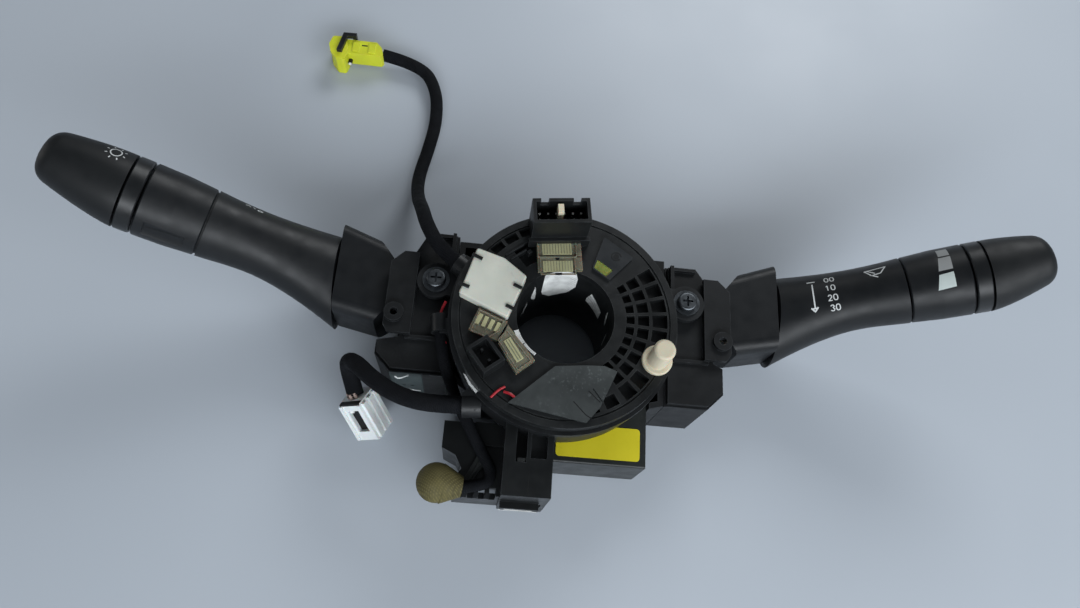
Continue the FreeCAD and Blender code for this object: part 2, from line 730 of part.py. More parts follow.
def contact_board(side):
    """Contact board in the near end of a switch case."""
    inner = BASE_HALF_X + CASE_GAP + CASE_WALL + 0.6
    near = (LEFT_CASE_NEAR if side < 0 else RIGHT_CASE_NEAR) + CASE_WALL + 0.6
    board = box(inner, CASE_MOUTH_X - 4, near, near + 14, CASE_FLOOR, CASE_FLOOR + 1.6)
    pads = [box(inner + 3 + 4 * k, inner + 5 + 4 * k, near + 3, near + 11,
                CASE_FLOOR + 1.6, CASE_FLOOR + 2.4) for k in range(3)]
    return on_side(union([board] + pads), side)


# Stator and its parts


def stator_case():
    """Tray of the spiral cable, with ears that the screws hold."""
    floor = BASE_TOP
    body = ring(SLEEVE_R + RUN_FIT, STATOR_R, floor, floor + STATOR_FLOOR)
    wall = ring(STATOR_R - STATOR_WALL, STATOR_R, floor, STATOR_TOP - STATOR_LIP)
    parts = [body, wall]
    for side in (1, -1):
        pad = cyl(EAR_R, EAR_SEAT_Z, EAR_SEAT_Z + EAR_THICK, side * SCREW_X, SCREW_Y)
        arm = box(min(side * 34, side * SCREW_X), max(side * 34, side * SCREW_X),
                  SCREW_Y - 6, SCREW_Y + 6, EAR_SEAT_Z, EAR_SEAT_Z + EAR_THICK)
        parts.append(union([pad, arm]).cut(cyl(STATOR_R - 1, 30, 60)))
    for route, radius in lead_exits():
        parts.append(outlet(route, radius))
    body = union(parts)
    for route, radius in lead_exits():
        body = body.cut(cord(route, radius))
    for side in (1, -1):
        body = body.cut(cyl(SCREW_R + 0.2, 30, 60, side * SCREW_X, SCREW_Y))
    return body


def lead_exits():
    """Leads that leave through the stator's wall."""
    return ((AIRBAG_ROUTE, AIRBAG_LEAD_R), (SWITCH_ROUTE, SWITCH_LEAD_R),
            (SHORT_ROUTE, SHORT_LEAD_R))


def outlet(route, radius):
    """Collar that grips a lead where it leaves the stator's wall."""
    start = V(*route[0])
    way = (V(*route[0]) - V(*route[1])).normalize()
    collar = Part.makeCylinder(radius + OUTLET_WALL, OUTLET_LENGTH, start - way * 2.0, way)
    half = radius + OUTLET_WALL / 2
    out = math.hypot(start.x, start.y)
    block = box(STATOR_R - STATOR_WALL / 2, out, -half, half, start.z - half, start.z + half)
    block = turned(block, math.degrees(math.atan2(start.y, start.x)))
    body = collar.fuse(block).cut(cyl(STATOR_R - STATOR_WALL / 2, 0, 90))
    return body.cut(cyl(STATOR_LIP_R + 0.3, STATOR_TOP - STATOR_LIP, 90))


def stator_ring():
    """Snap ring that closes the stator's edge under the rotor."""
    low = STATOR_TOP - STATOR_LIP
    body = ring(STATOR_R - STATOR_WALL, STATOR_LIP_R, low, STATOR_TOP)
    for angle in range(15, 360, 45):
        body = body.cut(sector(STATOR_R + 0.4, STATOR_R + 5, angle - 3, angle + 3, low - 1, low + 1.4))
    return body


def cable_coil():
    """Flat cable wound between the rotor sleeve and the stator wall."""
    low = BASE_TOP + STATOR_FLOOR + 0.6
    high = STATOR_TOP - STATOR_LIP - 0.4
    edges = []
    radius = CABLE_COIL_INNER_R
    shift = 0.0
    sign = 1
    for _ in range(2 * CABLE_COIL_TURNS):
        start = V(shift + sign * radius, 0, low)
        top = V(shift, sign * radius, low)
        end = V(shift - sign * radius, 0, low)
        edges.append(Part.Arc(start, top, end).toShape())
        shift += sign * CABLE_COIL_PITCH / 4
        radius += CABLE_COIL_PITCH / 4
        sign = -sign
    path = Part.Wire(edges)
    band = path.makeOffset2D(CABLE_THICK, fill=True, openResult=True)
    return band.extrude(V(0, 0, high - low))


def connector_block():
    """Moulded block on the front of the stator with the harness socket."""
    near = BLOCK_NEAR_Y + 1.3
    tower = box(BLOCK_TOWER_X, BLOCK_RIGHT_X, BLOCK_NEAR_Y, BLOCK_REAR_Y,
                BLOCK_BOTTOM, BLOCK_TOWER_TOP)
    shelf_plan = [
        (BLOCK_LEFT_X, BLOCK_REAR_Y), (BLOCK_LEFT_X, near + 17.0), (BLOCK_LEFT_X + 5.5, near + 14.5),
        (BLOCK_LEFT_X + 8.2, near + 9.5), (BLOCK_LEFT_X + 5.0, near + 4.5), (BLOCK_LEFT_X + 5.0, near),
        (BLOCK_TOWER_X + 1, near), (BLOCK_TOWER_X + 1, BLOCK_REAR_Y),
    ]
    shelf = slab(shelf_plan, BLOCK_BOTTOM, BLOCK_SHELF_TOP)
    bridge = box(-30, BLOCK_TOWER_X + 1, -46, BLOCK_REAR_Y, BLOCK_SHELF_TOP - 1,
                 BLOCK_SHELF_TOP + 2)
    body = union([tower, shelf, bridge])
    body = body.cut(cyl(STATOR_R + 0.1, 0, 60)).cut(cyl(STATOR_LIP_R + 0.3, 45, 60))
    mouth = box(BLOCK_TOWER_X + BLOCK_WALL, BLOCK_RIGHT_X - BLOCK_WALL, BLOCK_NEAR_Y - 1,
                BLOCK_NEAR_Y + 14, 8.0, 26.0)
    body = body.cut(mouth)
    recess = box(BLOCK_TOWER_X + 4.4, BLOCK_TOWER_X + 8.4, BLOCK_NEAR_Y + 12.4, BLOCK_REAR_Y - 1,
                 BLOCK_TOWER_TOP - 7, 60)
    hollow = box(BLOCK_TOWER_X + 9.9, BLOCK_RIGHT_X - 2.3, BLOCK_NEAR_Y + 14.0, BLOCK_REAR_Y - 1,
                 BLOCK_TOWER_TOP - 3, 60)
    first = BLOCK_LEFT_X + 7.0
    slots = [box(first + 4.2 * k, first + 2.4 + 4.2 * k, near - 1, near + 3,
                 BLOCK_SHELF_TOP - 10, BLOCK_SHELF_TOP + 1) for k in range(4)]
    under = box(first, BLOCK_TOWER_X - 1, near + 2.5, near + 14, BLOCK_BOTTOM - 1, BLOCK_SHELF_TOP - 3)
    for tool in [recess, hollow, under] + slots:
        body = body.cut(tool)
    return body


def block_pins():
    """Pins in the harness socket."""
    pins = []
    for row in (13.0, 20.0):
        for k in range(6):
            x = BLOCK_TOWER_X + 4.0 + k * (BLOCK_TOWER_WIDTH - 8.7) / 5
            pins.append(box(x, x + 0.7, BLOCK_NEAR_Y + 4, BLOCK_NEAR_Y + 14, row, row + 0.7))
    return Part.makeCompound(pins)


def block_clip():
    """Pale locking clip on the near edge of the block."""
    y = BLOCK_NEAR_Y
    left = BLOCK_TOWER_X + 0.4
    right = BLOCK_RIGHT_X - 3.0
    bar = box(left, right, y - 2.6, y, 27.2, 29.4)
    lugs = [box(x, x + 2, y - 2.6, y, 23.6, 29.4) for x in (left, right - 2)]
    return union([bar] + lugs)


# Steering angle sensor


def sas_plan(inset, z0, z1):
    """Sensor housing's plan, drawn in by an inset, as a prism."""
    disc = cyl(SAS_R - inset, z0, z1)
    wing = box(SAS_LEFT_X + inset, SAS_RIGHT_X - inset, SAS_NEAR_Y + inset,
               SAS_REAR_Y - inset, z0, z1)
    return union([disc, wing])


def gear_centre(teeth, angle):
    """Centre of a measuring gear that meshes with the drive ring."""
    reach = GEAR_MODULE * (DRIVE_TEETH + teeth) / 2 + GEAR_BACKLASH
    return polar(reach, angle)


def sas_case():
    """Lower shell with posts for the measuring gears."""
    body = sas_plan(0, SAS_BOTTOM, SAS_SEAM_Z)
    body = body.cut(sas_plan(SAS_WALL, SAS_BOTTOM + SAS_WALL, SAS_SEAM_Z + 1))
    deep = box(SAS_LEFT_X, SAS_RIGHT_X, SAS_NEAR_Y, SAS_DEEP_Y, SAS_DEEP_Z, SAS_BOTTOM + 1)
    hollow = box(SAS_LEFT_X + SAS_WALL, SAS_RIGHT_X - SAS_WALL, SAS_NEAR_Y + SAS_WALL,
                 SAS_DEEP_Y - SAS_WALL, SAS_DEEP_Z + SAS_WALL, SAS_SEAM_Z)
    body = union([body, deep]).cut(hollow).cut(cyl(SAS_BORE_R, 0, 60))
    posts = []
    for teeth, angle in ((GEAR_A_TEETH, GEAR_A_ANGLE), (GEAR_B_TEETH, GEAR_B_ANGLE)):
        x, y = gear_centre(teeth, angle)
        posts.append(cyl(GEAR_POST_R, SAS_BOTTOM + 1, GEAR_BOTTOM + GEAR_WIDTH + 0.6, x, y))
        posts.append(cyl(GEAR_POST_R + 1.5, SAS_BOTTOM + 1, GEAR_BOTTOM - 0.1, x, y))
    return union([body] + posts)


def sas_cover():
    """Upper shell of the sensor."""
    body = sas_plan(0, SAS_SEAM_Z, SAS_TOP)
    body = body.cut(sas_plan(SAS_WALL, SAS_SEAM_Z - 1, SAS_TOP - SAS_WALL))
    body = body.cut(cyl(SAS_BORE_R, 0, 60))
    near = [e for e in body.Edges if e.BoundBox.YMax < SAS_NEAR_Y + 0.1
            and e.BoundBox.ZMin > SAS_TOP - 0.1]
    return body.makeFillet(1.0, near)


def sas_board():
    """Circuit board that reads the two measuring gears."""
    low = GEAR_BOTTOM + GEAR_WIDTH + 1.6
    plate = sas_plan(SAS_WALL + 0.3, low, low + 1.4).cut(cyl(SAS_BORE_R + 5.2, 0, 60))
    chips = [box(8 + 9 * k, 13 + 9 * k, -44, -39, low + 1.4, low + 2.4) for k in range(3)]
    return union([plate] + chips)


def sas_label():
    """Bare coloured label on the sensor."""
    label = box(SAS_LEFT_X + 1.0, SAS_RIGHT_X - 2.4, SAS_NEAR_Y + 2.4, SAS_NEAR_Y + 15.2,
                SAS_TOP, SAS_TOP + LABEL_THICK)
    return label.makeFillet(1.4, upright_edges(label))


def spur(teeth, bore, phase):
    """Spur gear with straight-flanked rounded-down teeth."""
    pitch_r = GEAR_MODULE * teeth / 2
    root_r = pitch_r - 1.15 * GEAR_MODULE
    tip_r = pitch_r + 0.8 * GEAR_MODULE
    points = []
    step = 360 / teeth
    wide = math.degrees(1.02 * GEAR_MODULE / root_r)
    slim = math.degrees(0.32 * GEAR_MODULE / tip_r)
    for k in range(teeth):
        mid = phase + k * step
        for r, off in ((root_r, -wide), (tip_r, -slim), (tip_r, slim), (root_r, wide)):
            points.append(polar(r, mid + off))
    body = slab(points, GEAR_BOTTOM, GEAR_BOTTOM + GEAR_WIDTH)
    return body.cut(cyl(bore, 0, 60))


def drive_ring():
    """Ring gear keyed to the rotor's sleeve."""
    return spur(DRIVE_TEETH, SLEEVE_R, GEAR_A_ANGLE)


def measuring_gear(teeth, angle):
    """Small gear that the sensor reads, in mesh with the drive ring."""
    drive_step = 360 / DRIVE_TEETH
    slip = (angle - GEAR_A_ANGLE) % drive_step
    phase = 180 + 180 / teeth + slip * DRIVE_TEETH / teeth + angle
    x, y = gear_centre(teeth, angle)
    return moved(spur(teeth, GEAR_POST_R + RUN_FIT, phase), x, y)


# Rotor and its parts


def rotor_plane():
    """Height of the rotor's underside, disc top and frame top."""
    low = STATOR_TOP + ROTOR_GAP
    return low, low + ROTOR_DISC, low + ROTOR_DISC + ROTOR_FRAME


def rotor_disc():
    """Disc and sleeve that turn with the steering wheel."""
    low, top, _ = rotor_plane()
    disc = cyl(ROTOR_R, low, top)
    sleeve = cyl(SLEEVE_R, SLEEVE_BOTTOM, top)
    return union([disc, sleeve]).cut(cyl(ROTOR_BORE_R, 0, 80))


def pocket_tools():
    """Pockets of the ribbed frame."""
    _, low, top = rotor_plane()
    half = POCKET_PITCH / 2

    def pocket(r_in, r_out, angle):
        rib = math.degrees(POCKET_RIB / 2 / r_in)
        return sector(r_in, r_out, angle - half + rib, angle + half - rib, low - 1, top + 1)

    tools = []
    for k in range(RIGHT_COUNT):
        angle = RIGHT_FIRST + k * POCKET_PITCH
        tools.append(pocket(27.6, 32.0, angle))
        tools.append(pocket(23.2, 26.4, angle))
        away = abs(angle - math.degrees(math.atan2(PIN_Y, PIN_X)))
        if away > 12:
            tools.append(pocket(33.2, 39.0, angle))
    for angle in (-60, -72):
        tools.append(pocket(34.0, 38.5, angle))
    for k in range(REAR_COUNT):
        tools.append(pocket(36.0, 39.4, REAR_FIRST + k * POCKET_PITCH))
    tools.append(sector(24.5, 33.5, 113, 131, low - 1, top + 1))
    return tools


def rotor_frame():
    """Ribbed top frame of the rotor."""
    _, low, top = rotor_plane()
    body = ring(ROTOR_BORE_R, ROTOR_R, low, top)
    groove = ring(ROTOR_R - RIM_WIDTH - 0.7, ROTOR_R - RIM_WIDTH, top - 0.6, top + 1)
    body = body.cut(Part.makeCompound(pocket_tools())).cut(groove)
    hole = cyl(PIN_R - 1.2, low - 1, top + 1, PIN_X, PIN_Y)
    return body.cut(hole)


def on_rotor(points, height, radius=0.0):
    """Plate lying on the rotor's frame."""
    top = rotor_plane()[2]
    if radius:
        return soft_slab(points, radius, top, top + height)
    return slab(points, top, top + height)


def plug_frame(shape):
    """Shape drawn along the rear connector's front edge, put in place."""
    x, y = PLUG_CORNER
    return moved(turned(shape, PLUG_ANGLE), x, y)


def wheel_connector():
    """Tall connector that faces the steering wheel."""
    top = rotor_plane()[2]
    high = top + PLUG_HEIGHT
    wall = PLUG_WALL
    body = box(0, PLUG_WIDTH, 0, PLUG_DEPTH, top, high)
    room = box(wall, PLUG_WIDTH - wall, wall, PLUG_DEPTH - wall, top + 4, high + 1)
    key = box(PLUG_WIDTH / 2 - 0.6, PLUG_WIDTH / 2 + 0.6, PLUG_DEPTH - 4, PLUG_DEPTH - wall,
              top + 3, high - 2)
    skirt = box(-1.0, PLUG_WIDTH + 1.0, -1.6, 0, top, top + 5)
    slots = [box(x, x + 3, PLUG_DEPTH - wall - 0.6, PLUG_DEPTH + 1, high - 3, high + 1)
             for x in (3.2, PLUG_WIDTH - 6.2)]
    body = union([body.cut(room), key, skirt])
    for slot in slots:
        body = body.cut(slot)
    return plug_frame(body)


def wheel_pins():
    """Pins of the tall connector."""
    top = rotor_plane()[2]
    pins = []
    for row in (PLUG_DEPTH / 3, PLUG_DEPTH * 0.6):
        for k in range(6):
            x = 2.6 + k * (PLUG_WIDTH - 5.9) / 5
            pins.append(box(x, x + 0.7, row, row + 0.7, top + 4, top + 12))
    return plug_frame(Part.makeCompound(pins))


def rear_retainer():
    """Clear retainer in front of the tall connector."""
    top = rotor_plane()[2]
    body = box(2.2, PLUG_WIDTH - 2.4, -12.6, -1.6, top, top + RETAINER_HEIGHT)
    groove = box(2.0, PLUG_WIDTH, -7.6, -6.8, top + 1.6, top + 6)
    return plug_frame(body.cut(groove)).cut(cyl(ROTOR_BORE_R + SEAM, 0, 90))


def side_retainer_a():
    """Clear retainer next to the white cover."""
    points = [(-32.6, -0.6), (-35.6, -9.2), (-25.0, -12.8), (-21.6, -5.2)]
    return on_rotor(points, RETAINER_HEIGHT)


def side_retainer_b():
    """Clear retainer next to the side socket."""
    points = [(-21.4, -6.6), (-24.4, -14.0), (-17.0, -24.6), (-10.6, -19.2)]
    return on_rotor(points, RETAINER_HEIGHT + 0.4)


def white_cover():
    """Pale cover over the rotor's terminals."""
    points = [(-35.4, 23.0), (-24.7, 19.8), (-15.8, 13.2), (-21.8, -4.1), (-40.7, 4.1),
              (-39.4, 7.9)]
    body = on_rotor(points, WHITE_COVER_HEIGHT, 1.0)
    top = rotor_plane()[2] + WHITE_COVER_HEIGHT
    rim = [e for e in body.Edges if e.BoundBox.ZMin > top - 0.01]
    return body.makeFillet(0.7, rim)


def cover_clips():
    """Dark clips that hook over the pale cover's edges."""
    top = rotor_plane()[2]
    clips = []
    spots = ((-35.0, 19.0, -23), (-38.9, 7.0, -17), (-18.6, 8.3, -23), (-20.9, -0.3, -23))
    for x, y, angle in spots:
        clip = box(-2.1, 2.1, -0.6, 0.6, WHITE_COVER_HEIGHT, WHITE_COVER_HEIGHT + 0.6)
        clips.append(moved(turned(clip, angle), x, y, top).cut(cyl(ROTOR_BORE_R + SEAM, 0, 90)))
    return Part.makeCompound(clips)


def side_socket():
    """Small dark socket beside the retainers."""
    top = rotor_plane()[2]
    wide = SOCKET_WIDTH / 2
    deep = SOCKET_DEPTH / 2
    body = box(-wide, wide, -deep, deep, top, top + SOCKET_HEIGHT)
    room = box(-wide + 1.2, wide - 1.2, -deep + 1.2, deep - 1.2, top + 1.5, top + 20)
    body = body.cut(room)
    pins = [box(x - 0.4, x + 0.4, -0.4, 0.4, top + 1, top + 5.5) for x in (-2.4, 2.4)]
    body = union([body] + pins)
    x, y = SOCKET_CENTRE
    return moved(turned(body, SOCKET_ANGLE), x, y)


def service_cover():
    """Smooth dark cover over the cable's inner end."""
    points = [(-2.9, -20.2), (-19.0, -35.2), (9.4, -40.2), (14.2, -34.2), (20.1, -20.2),
              (15.2, -18.6), (9.0, -18.9)]
    body = on_rotor(points, SERVICE_COVER_HEIGHT)
    body = body.cut(cyl(ROTOR_BORE_R + 1.2, 0, 90))
    top = rotor_plane()[2] + SERVICE_COVER_HEIGHT
    slit = box(-0.3, 0.3, -4.5, 4.5, top - 0.5, top + 1)
    return body.cut(moved(turned(slit, 38), 14.0, -31.0))


def window_plate():
    """Grey plate with the centring window."""
    points = [(13.5, 34.3), (25.2, 26.4), (16.0, 16.1), (9.2, 20.4)]
    body = on_rotor(points, WINDOW_PLATE_HEIGHT, 0.8)
    return body.cut(window_shape())


def window_shape():
    """Volume of the centring window."""
    points = [(11.2, 24.2), (17.4, 20.2), (14.6, 17.4), (9.9, 20.6)]
    return on_rotor(points, WINDOW_PLATE_HEIGHT)


def index_window():
    """Coloured window that shows the rotor is centred."""
    points = [(11.2, 24.2), (17.4, 20.2), (14.6, 17.4), (9.9, 20.6)]
    return on_rotor(points, WINDOW_PLATE_HEIGHT - 0.3)


def locating_pin():
    """Pin that the steering wheel's hub picks up."""
    _, low, top = rotor_plane()
    flange = cyl(PIN_FLANGE_R, top, top + 1.6, PIN_X, PIN_Y)
    flange = flange.makeFillet(0.6, [e for e in flange.Edges if e.BoundBox.ZMin > top + 1.5])
    post = cyl(PIN_R, top, top + PIN_HEIGHT, PIN_X, PIN_Y)
    post = post.makeFillet(1.2, [e for e in post.Edges if e.BoundBox.ZMin > top + PIN_HEIGHT - 0.1])
    stem = cyl(PIN_R - 1.2, low, top, PIN_X, PIN_Y)
    return union([flange, post, stem])


def cancel_cam():
    """Two-lobed cam at the foot of the rotor's sleeve."""
    bore = SLEEVE_R
    body = ring(bore, CAM_R, SLEEVE_BOTTOM, SLEEVE_BOTTOM + CAM_HEIGHT)
    lobes = [sector(CAM_R - 1, CAM_LOBE_R, a - 14, a + 14, SLEEVE_BOTTOM, SLEEVE_BOTTOM + CAM_HEIGHT)
             for a in (90, 270)]
    return union([body] + lobes)


# Screws, leads and plugs


def phillips_screw(x, y, seat, length):
    """Cross-recessed screw with a captive washer."""
    washer = cyl(WASHER_R, seat, seat + WASHER_THICK, x, y)
    head = cyl(SCREW_HEAD_R, seat + WASHER_THICK, seat + WASHER_THICK + SCREW_HEAD, x, y)
    crown = seat + WASHER_THICK + SCREW_HEAD
    head = head.makeFillet(1.0, [e for e in head.Edges if e.BoundBox.ZMin > crown - 0.1])
    shank = cyl(SCREW_R, seat - length, seat, x, y)
    recess = union([box(x - 2.2, x + 2.2, y - 0.45, y + 0.45, crown - 1.4, crown + 1),
                    box(x - 0.45, x + 0.45, y - 2.2, y + 2.2, crown - 1.4, crown + 1)])
    return union([washer, head, shank]).cut(recess)


def ear_screws():
    """Screws through the stator's ears."""
    seat = EAR_SEAT_Z + EAR_THICK
    return Part.makeCompound([phillips_screw(side * SCREW_X, SCREW_Y, seat, 5.2)
                              for side in (-1, 1)])


def cord(route, radius):
    """Tube along straight runs joined by tangent arcs."""
    points = [V(*p) for p in route]
    edges = []
    last = points[0]
    for before, corner, after in zip(points, points[1:], points[2:]):
        back = (before - corner).normalize()
        ahead = (after - corner).normalize()
        reach = 0.45 * min(before.distanceToPoint(corner), after.distanceToPoint(corner))
        half = math.acos(max(-1, min(1, back.dot(ahead)))) / 2
        start = corner + back * reach
        end = corner + ahead * reach
        centre_way = (back + ahead).normalize()
        bend = reach * math.tan(half)
        middle = corner + centre_way * (reach / math.cos(half) - bend)
        if last.distanceToPoint(start) > 1e-6:
            edges.append(Part.LineSegment(last, start).toShape())
        edges.append(Part.Arc(start, middle, end).toShape())
        last = end
    edges.append(Part.LineSegment(last, points[-1]).toShape())
    path = Part.Wire(edges)
    way = points[1] - points[0]
    section = Part.Wire(Part.makeCircle(radius, points[0], way))
    tube = path.makePipeShell([section], True, False)
    least = min(edge.Curve.Radius for edge in edges if hasattr(edge.Curve, "Radius"))
    ratio = tube.Volume / (path.Length * math.pi * radius ** 2)
    print(f"cord {path.Length:.1f} long, volume ratio {ratio:.3f}, least bend {least:.1f}")
    return tube


def airbag_plug():
    """Plug on the end of the long lead."""
    head = slab([(-26.0, -0.8), (-24.8, -5.0), (-21.4, -9.2), (-17.6, -9.4), (-16.4, -5.5),
                 (-17.2, 0.5), (-18.8, 4.4), (-24.6, 4.0)], 0, AIRBAG_HEAD_TOP)
    head = head.makeFillet(1.4, upright_edges(head))
    grip = slab([(-18.4, -4.6), (-0.4, -4.6), (0.6, -3.2), (-0.4, 0.6), (-3.2, 3.6), (-18.4, 3.6)],
                AIRBAG_GRIP_BOTTOM, AIRBAG_GRIP_TOP)
    body = head.fuse(grip)
    for x in (-14.4, -6.6):
        body = body.fuse(box(x, x + 3.2, -3.4, 2.2, AIRBAG_GRIP_TOP - 1, AIRBAG_GRIP_TOP + 0.6))
    mouth = box(-28, -19.6, -6.2, 1.8, 2.6, AIRBAG_HEAD_TOP - 2.2)
    return body.cut(mouth).removeSplitter()


def plug_at_lead_end(shape, route, angle):
    """Shape drawn along -X from the origin, put at a lead's end."""
    x, y, _ = route[-1]
    return moved(turned(shape, angle), x, y)


def airbag_connector():
    """Yellow plug."""
    body = plug_at_lead_end(airbag_plug(), AIRBAG_ROUTE, 0)
    return body.cut(cord(AIRBAG_ROUTE, AIRBAG_LEAD_R))


def airbag_clip():
    """Dark lock on the yellow plug."""
    arm = slab([(-21.4, -5.4), (-19.0, -5.4), (-17.4, 3.2), (-13.0, 3.6), (-13.0, 5.4), (-19.4, 5.2)],
               AIRBAG_HEAD_TOP, AIRBAG_HEAD_TOP + 2.0)
    hook = box(-15.0, -13.0, 3.9, 5.4, AIRBAG_GRIP_TOP - 3.0, AIRBAG_HEAD_TOP + 0.5)
    return plug_at_lead_end(arm.fuse(hook).removeSplitter(), AIRBAG_ROUTE, 0)


def switch_connector():
    """White plug on the thick lead."""
    half = SWITCH_PLUG_WIDTH / 2
    high = SWITCH_PLUG_HEIGHT
    long = SWITCH_PLUG_LENGTH
    body = box(-half, half, -long, 0, 0, high)
    window = box(-2.6, 2.6, -long + 4.4, -3.6, high - 7.5, high + 1)
    mouth = box(-half + 1.7, half - 1.7, -long - 1, -long + 6.0, 2.2, high - 2.4)
    ribs = [box(half, half + 1.2, -long + 0.8, -0.8, z, z + 2.0) for z in (0.6, 4.6, high - 2.6)]
    rails = [box(x, x + 1.4, -long + 0.6, -0.6, high, high + 0.8) for x in (-half, half - 1.4)]
    body = moved(union([body.cut(window).cut(mouth)] + ribs + rails), 0, 0, -high / 2)
    body.rotate(V(), V(0, 1, 0), -SWITCH_PLUG_ROLL)
    body.rotate(V(), V(1, 0, 0), SWITCH_PLUG_DIP)
    body = turned(body, SWITCH_PLUG_TURN)
    x, y, _ = SWITCH_ROUTE[-1]
    body = moved(body, x, y, -body.BoundBox.ZMin)
    return body.cut(cord(SWITCH_ROUTE, SWITCH_LEAD_R))


def tape_cap():
    """Taped end of the short lead, lying on the block."""
    x, y, z = SHORT_ROUTE[-1]
    body = Part.makeSphere(TAPE_CAP_R, V(x - TAPE_CAP_R, y + 0.6, z + 2.6))
    collar = Part.makeCone(SHORT_LEAD_R + 1.6, TAPE_CAP_R, TAPE_CAP_R, V(x + 2.0, y, z + 0.8),
                           V(-1, 0.06, 0.16))
    body = union([body, collar])
    body = body.common(box(-80, 20, -90, 0, BLOCK_SHELF_TOP + 0.1, 80))
    return body.cut(cord(SHORT_ROUTE, SHORT_LEAD_R))


def save(name, shape):
    """Write one piece and report its size."""
    solid = shape.Solids[0] if len(shape.Solids) == 1 else shape
    solid.exportStep("parts/" + name + ".step")
    state = "" if shape.isValid() and shape.Volume > 0 else "  BAD"
    print(f"{name:22s} solids {len(shape.Solids)} faces {len(shape.Faces)}{state}")


def pieces():
    """Every piece by name."""
    made = {
        "column_base": column_base(),
        "cancel_pawl": cancel_pawl(),
        "stator_case": stator_case(),
        "stator_ring": stator_ring(),
        "flat_cable_coil": cable_coil(),
        "connector_block": connector_block(),
        "connector_block_pins": block_pins(),
        "connector_block_clip": block_clip(),
        "sas_case": sas_case(),
        "sas_cover": sas_cover(),
        "sas_board": sas_board(),
        "sas_label": sas_label(),
        "sas_drive_ring": drive_ring(),
        "sas_gear_a": measuring_gear(GEAR_A_TEETH, GEAR_A_ANGLE),
        "sas_gear_b": measuring_gear(GEAR_B_TEETH, GEAR_B_ANGLE),
        "ear_screws": ear_screws(),
        "rotor_disc": rotor_disc(),
        "rotor_frame": rotor_frame(),
        "cancel_cam": cancel_cam(),
        "wheel_connector": wheel_connector(),
        "wheel_connector_pins": wheel_pins(),
        "rear_retainer": rear_retainer(),
        "side_retainer_a": side_retainer_a(),
        "side_retainer_b": side_retainer_b(),
        "white_cover": white_cover(),
        "white_cover_clips": cover_clips(),
        "side_socket": side_socket(),
        "service_cover": service_cover(),
        "window_plate": window_plate(),
        "index_window": index_window(),
        "locating_pin": locating_pin(),
        "airbag_lead": cord(AIRBAG_ROUTE, AIRBAG_LEAD_R),
        "airbag_connector": airbag_connector(),
        "airbag_connector_lock": airbag_clip(),
        "switch_lead": cord(SWITCH_ROUTE, SWITCH_LEAD_R),
        "switch_connector": switch_connector(),
        "short_lead": cord(SHORT_ROUTE, SHORT_LEAD_R),
        "tape_cap": tape_cap(),
        "left_fog_ring": fog_ring(),
        "right_adjuster_ring": to_arm(rotary_ring(), 1),
    }
    for name, side in (("left", -1), ("right", 1)):
        made[name + "_switch_case"] = switch_case(side)
        made[name + "_switch_cover"] = switch_cover(side)
        made[name + "_contact_board"] = contact_board(side)
        made[name + "_carrier"] = carrier(side)
        made[name + "_cross_pin"] = cross_pin(side)
        made[name + "_lever_root"] = lever_root(side)
        made[name + "_stalk"] = stalk(side)
        made[name + "_index_ring"] = index_ring(side)
        made[name + "_end_knob"] = end_knob(side)
    return made


def main():
    """Build and save the whole part."""
    os.makedirs("parts", exist_ok=True)
    for name, shape in pieces().items():
        save(name, shape)


main()
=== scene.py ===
import math

import bmesh
import bpy
from mathutils import Euler, Matrix, Vector
from mathutils.bvhtree import BVHTree


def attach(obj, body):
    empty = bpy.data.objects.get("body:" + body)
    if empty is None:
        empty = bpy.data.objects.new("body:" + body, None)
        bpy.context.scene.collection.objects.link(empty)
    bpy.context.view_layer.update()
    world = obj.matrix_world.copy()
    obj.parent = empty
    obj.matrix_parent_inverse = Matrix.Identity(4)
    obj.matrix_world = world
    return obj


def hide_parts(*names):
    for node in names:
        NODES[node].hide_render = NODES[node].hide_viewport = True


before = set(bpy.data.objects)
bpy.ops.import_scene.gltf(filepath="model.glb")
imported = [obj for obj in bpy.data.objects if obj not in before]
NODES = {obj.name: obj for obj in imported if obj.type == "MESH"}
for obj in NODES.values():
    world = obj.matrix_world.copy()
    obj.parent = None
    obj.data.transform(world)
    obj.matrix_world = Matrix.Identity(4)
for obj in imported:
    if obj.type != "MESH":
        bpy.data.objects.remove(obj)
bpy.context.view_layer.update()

MM = 0.001
scene = bpy.context.scene


# The camera, at the photograph's angle
def add_camera():
    data = bpy.data.cameras.new("camera")
    data.lens = 26.0
    data.sensor_width = 36.0
    data.clip_start = 0.01
    data.clip_end = 20
    camera = bpy.data.objects.new("camera", data)
    camera.location = (-0.028736, -0.104727, 0.330428)
    camera.rotation_euler = (0.373249, -0.093485, 0.062859)
    scene.collection.objects.link(camera)
    scene.camera = camera


add_camera()


# The leads: the same routes as the part's source, in metres
AIRBAG_LEAD_R = 0.0030
AIRBAG_ROUTE = (
    (-0.0415, 0.0225, 0.0444), (-0.050, 0.028, 0.045), (-0.057, 0.039, 0.044),
    (-0.061, 0.052, 0.034), (-0.0655, 0.066, 0.017), (-0.068, 0.083, 0.0044),
    (-0.065, 0.101, 0.0031), (-0.063, 0.117, 0.0031), (-0.065, 0.135, 0.0031),
    (-0.074, 0.1486, 0.0036), (-0.0934, 0.1508, 0.0054),
)
SWITCH_LEAD_R = 0.0034
SWITCH_ROUTE = (
    (-0.0335, -0.034, 0.045), (-0.047, -0.0348, 0.0445), (-0.0595, -0.032, 0.042),
    (-0.0705, -0.0255, 0.038), (-0.079, -0.0175, 0.033), (-0.0834, -0.0154, 0.026),
    (-0.0822, -0.020, 0.0194), (-0.079, -0.0274, 0.0182),
)
SHORT_LEAD_R = 0.0023
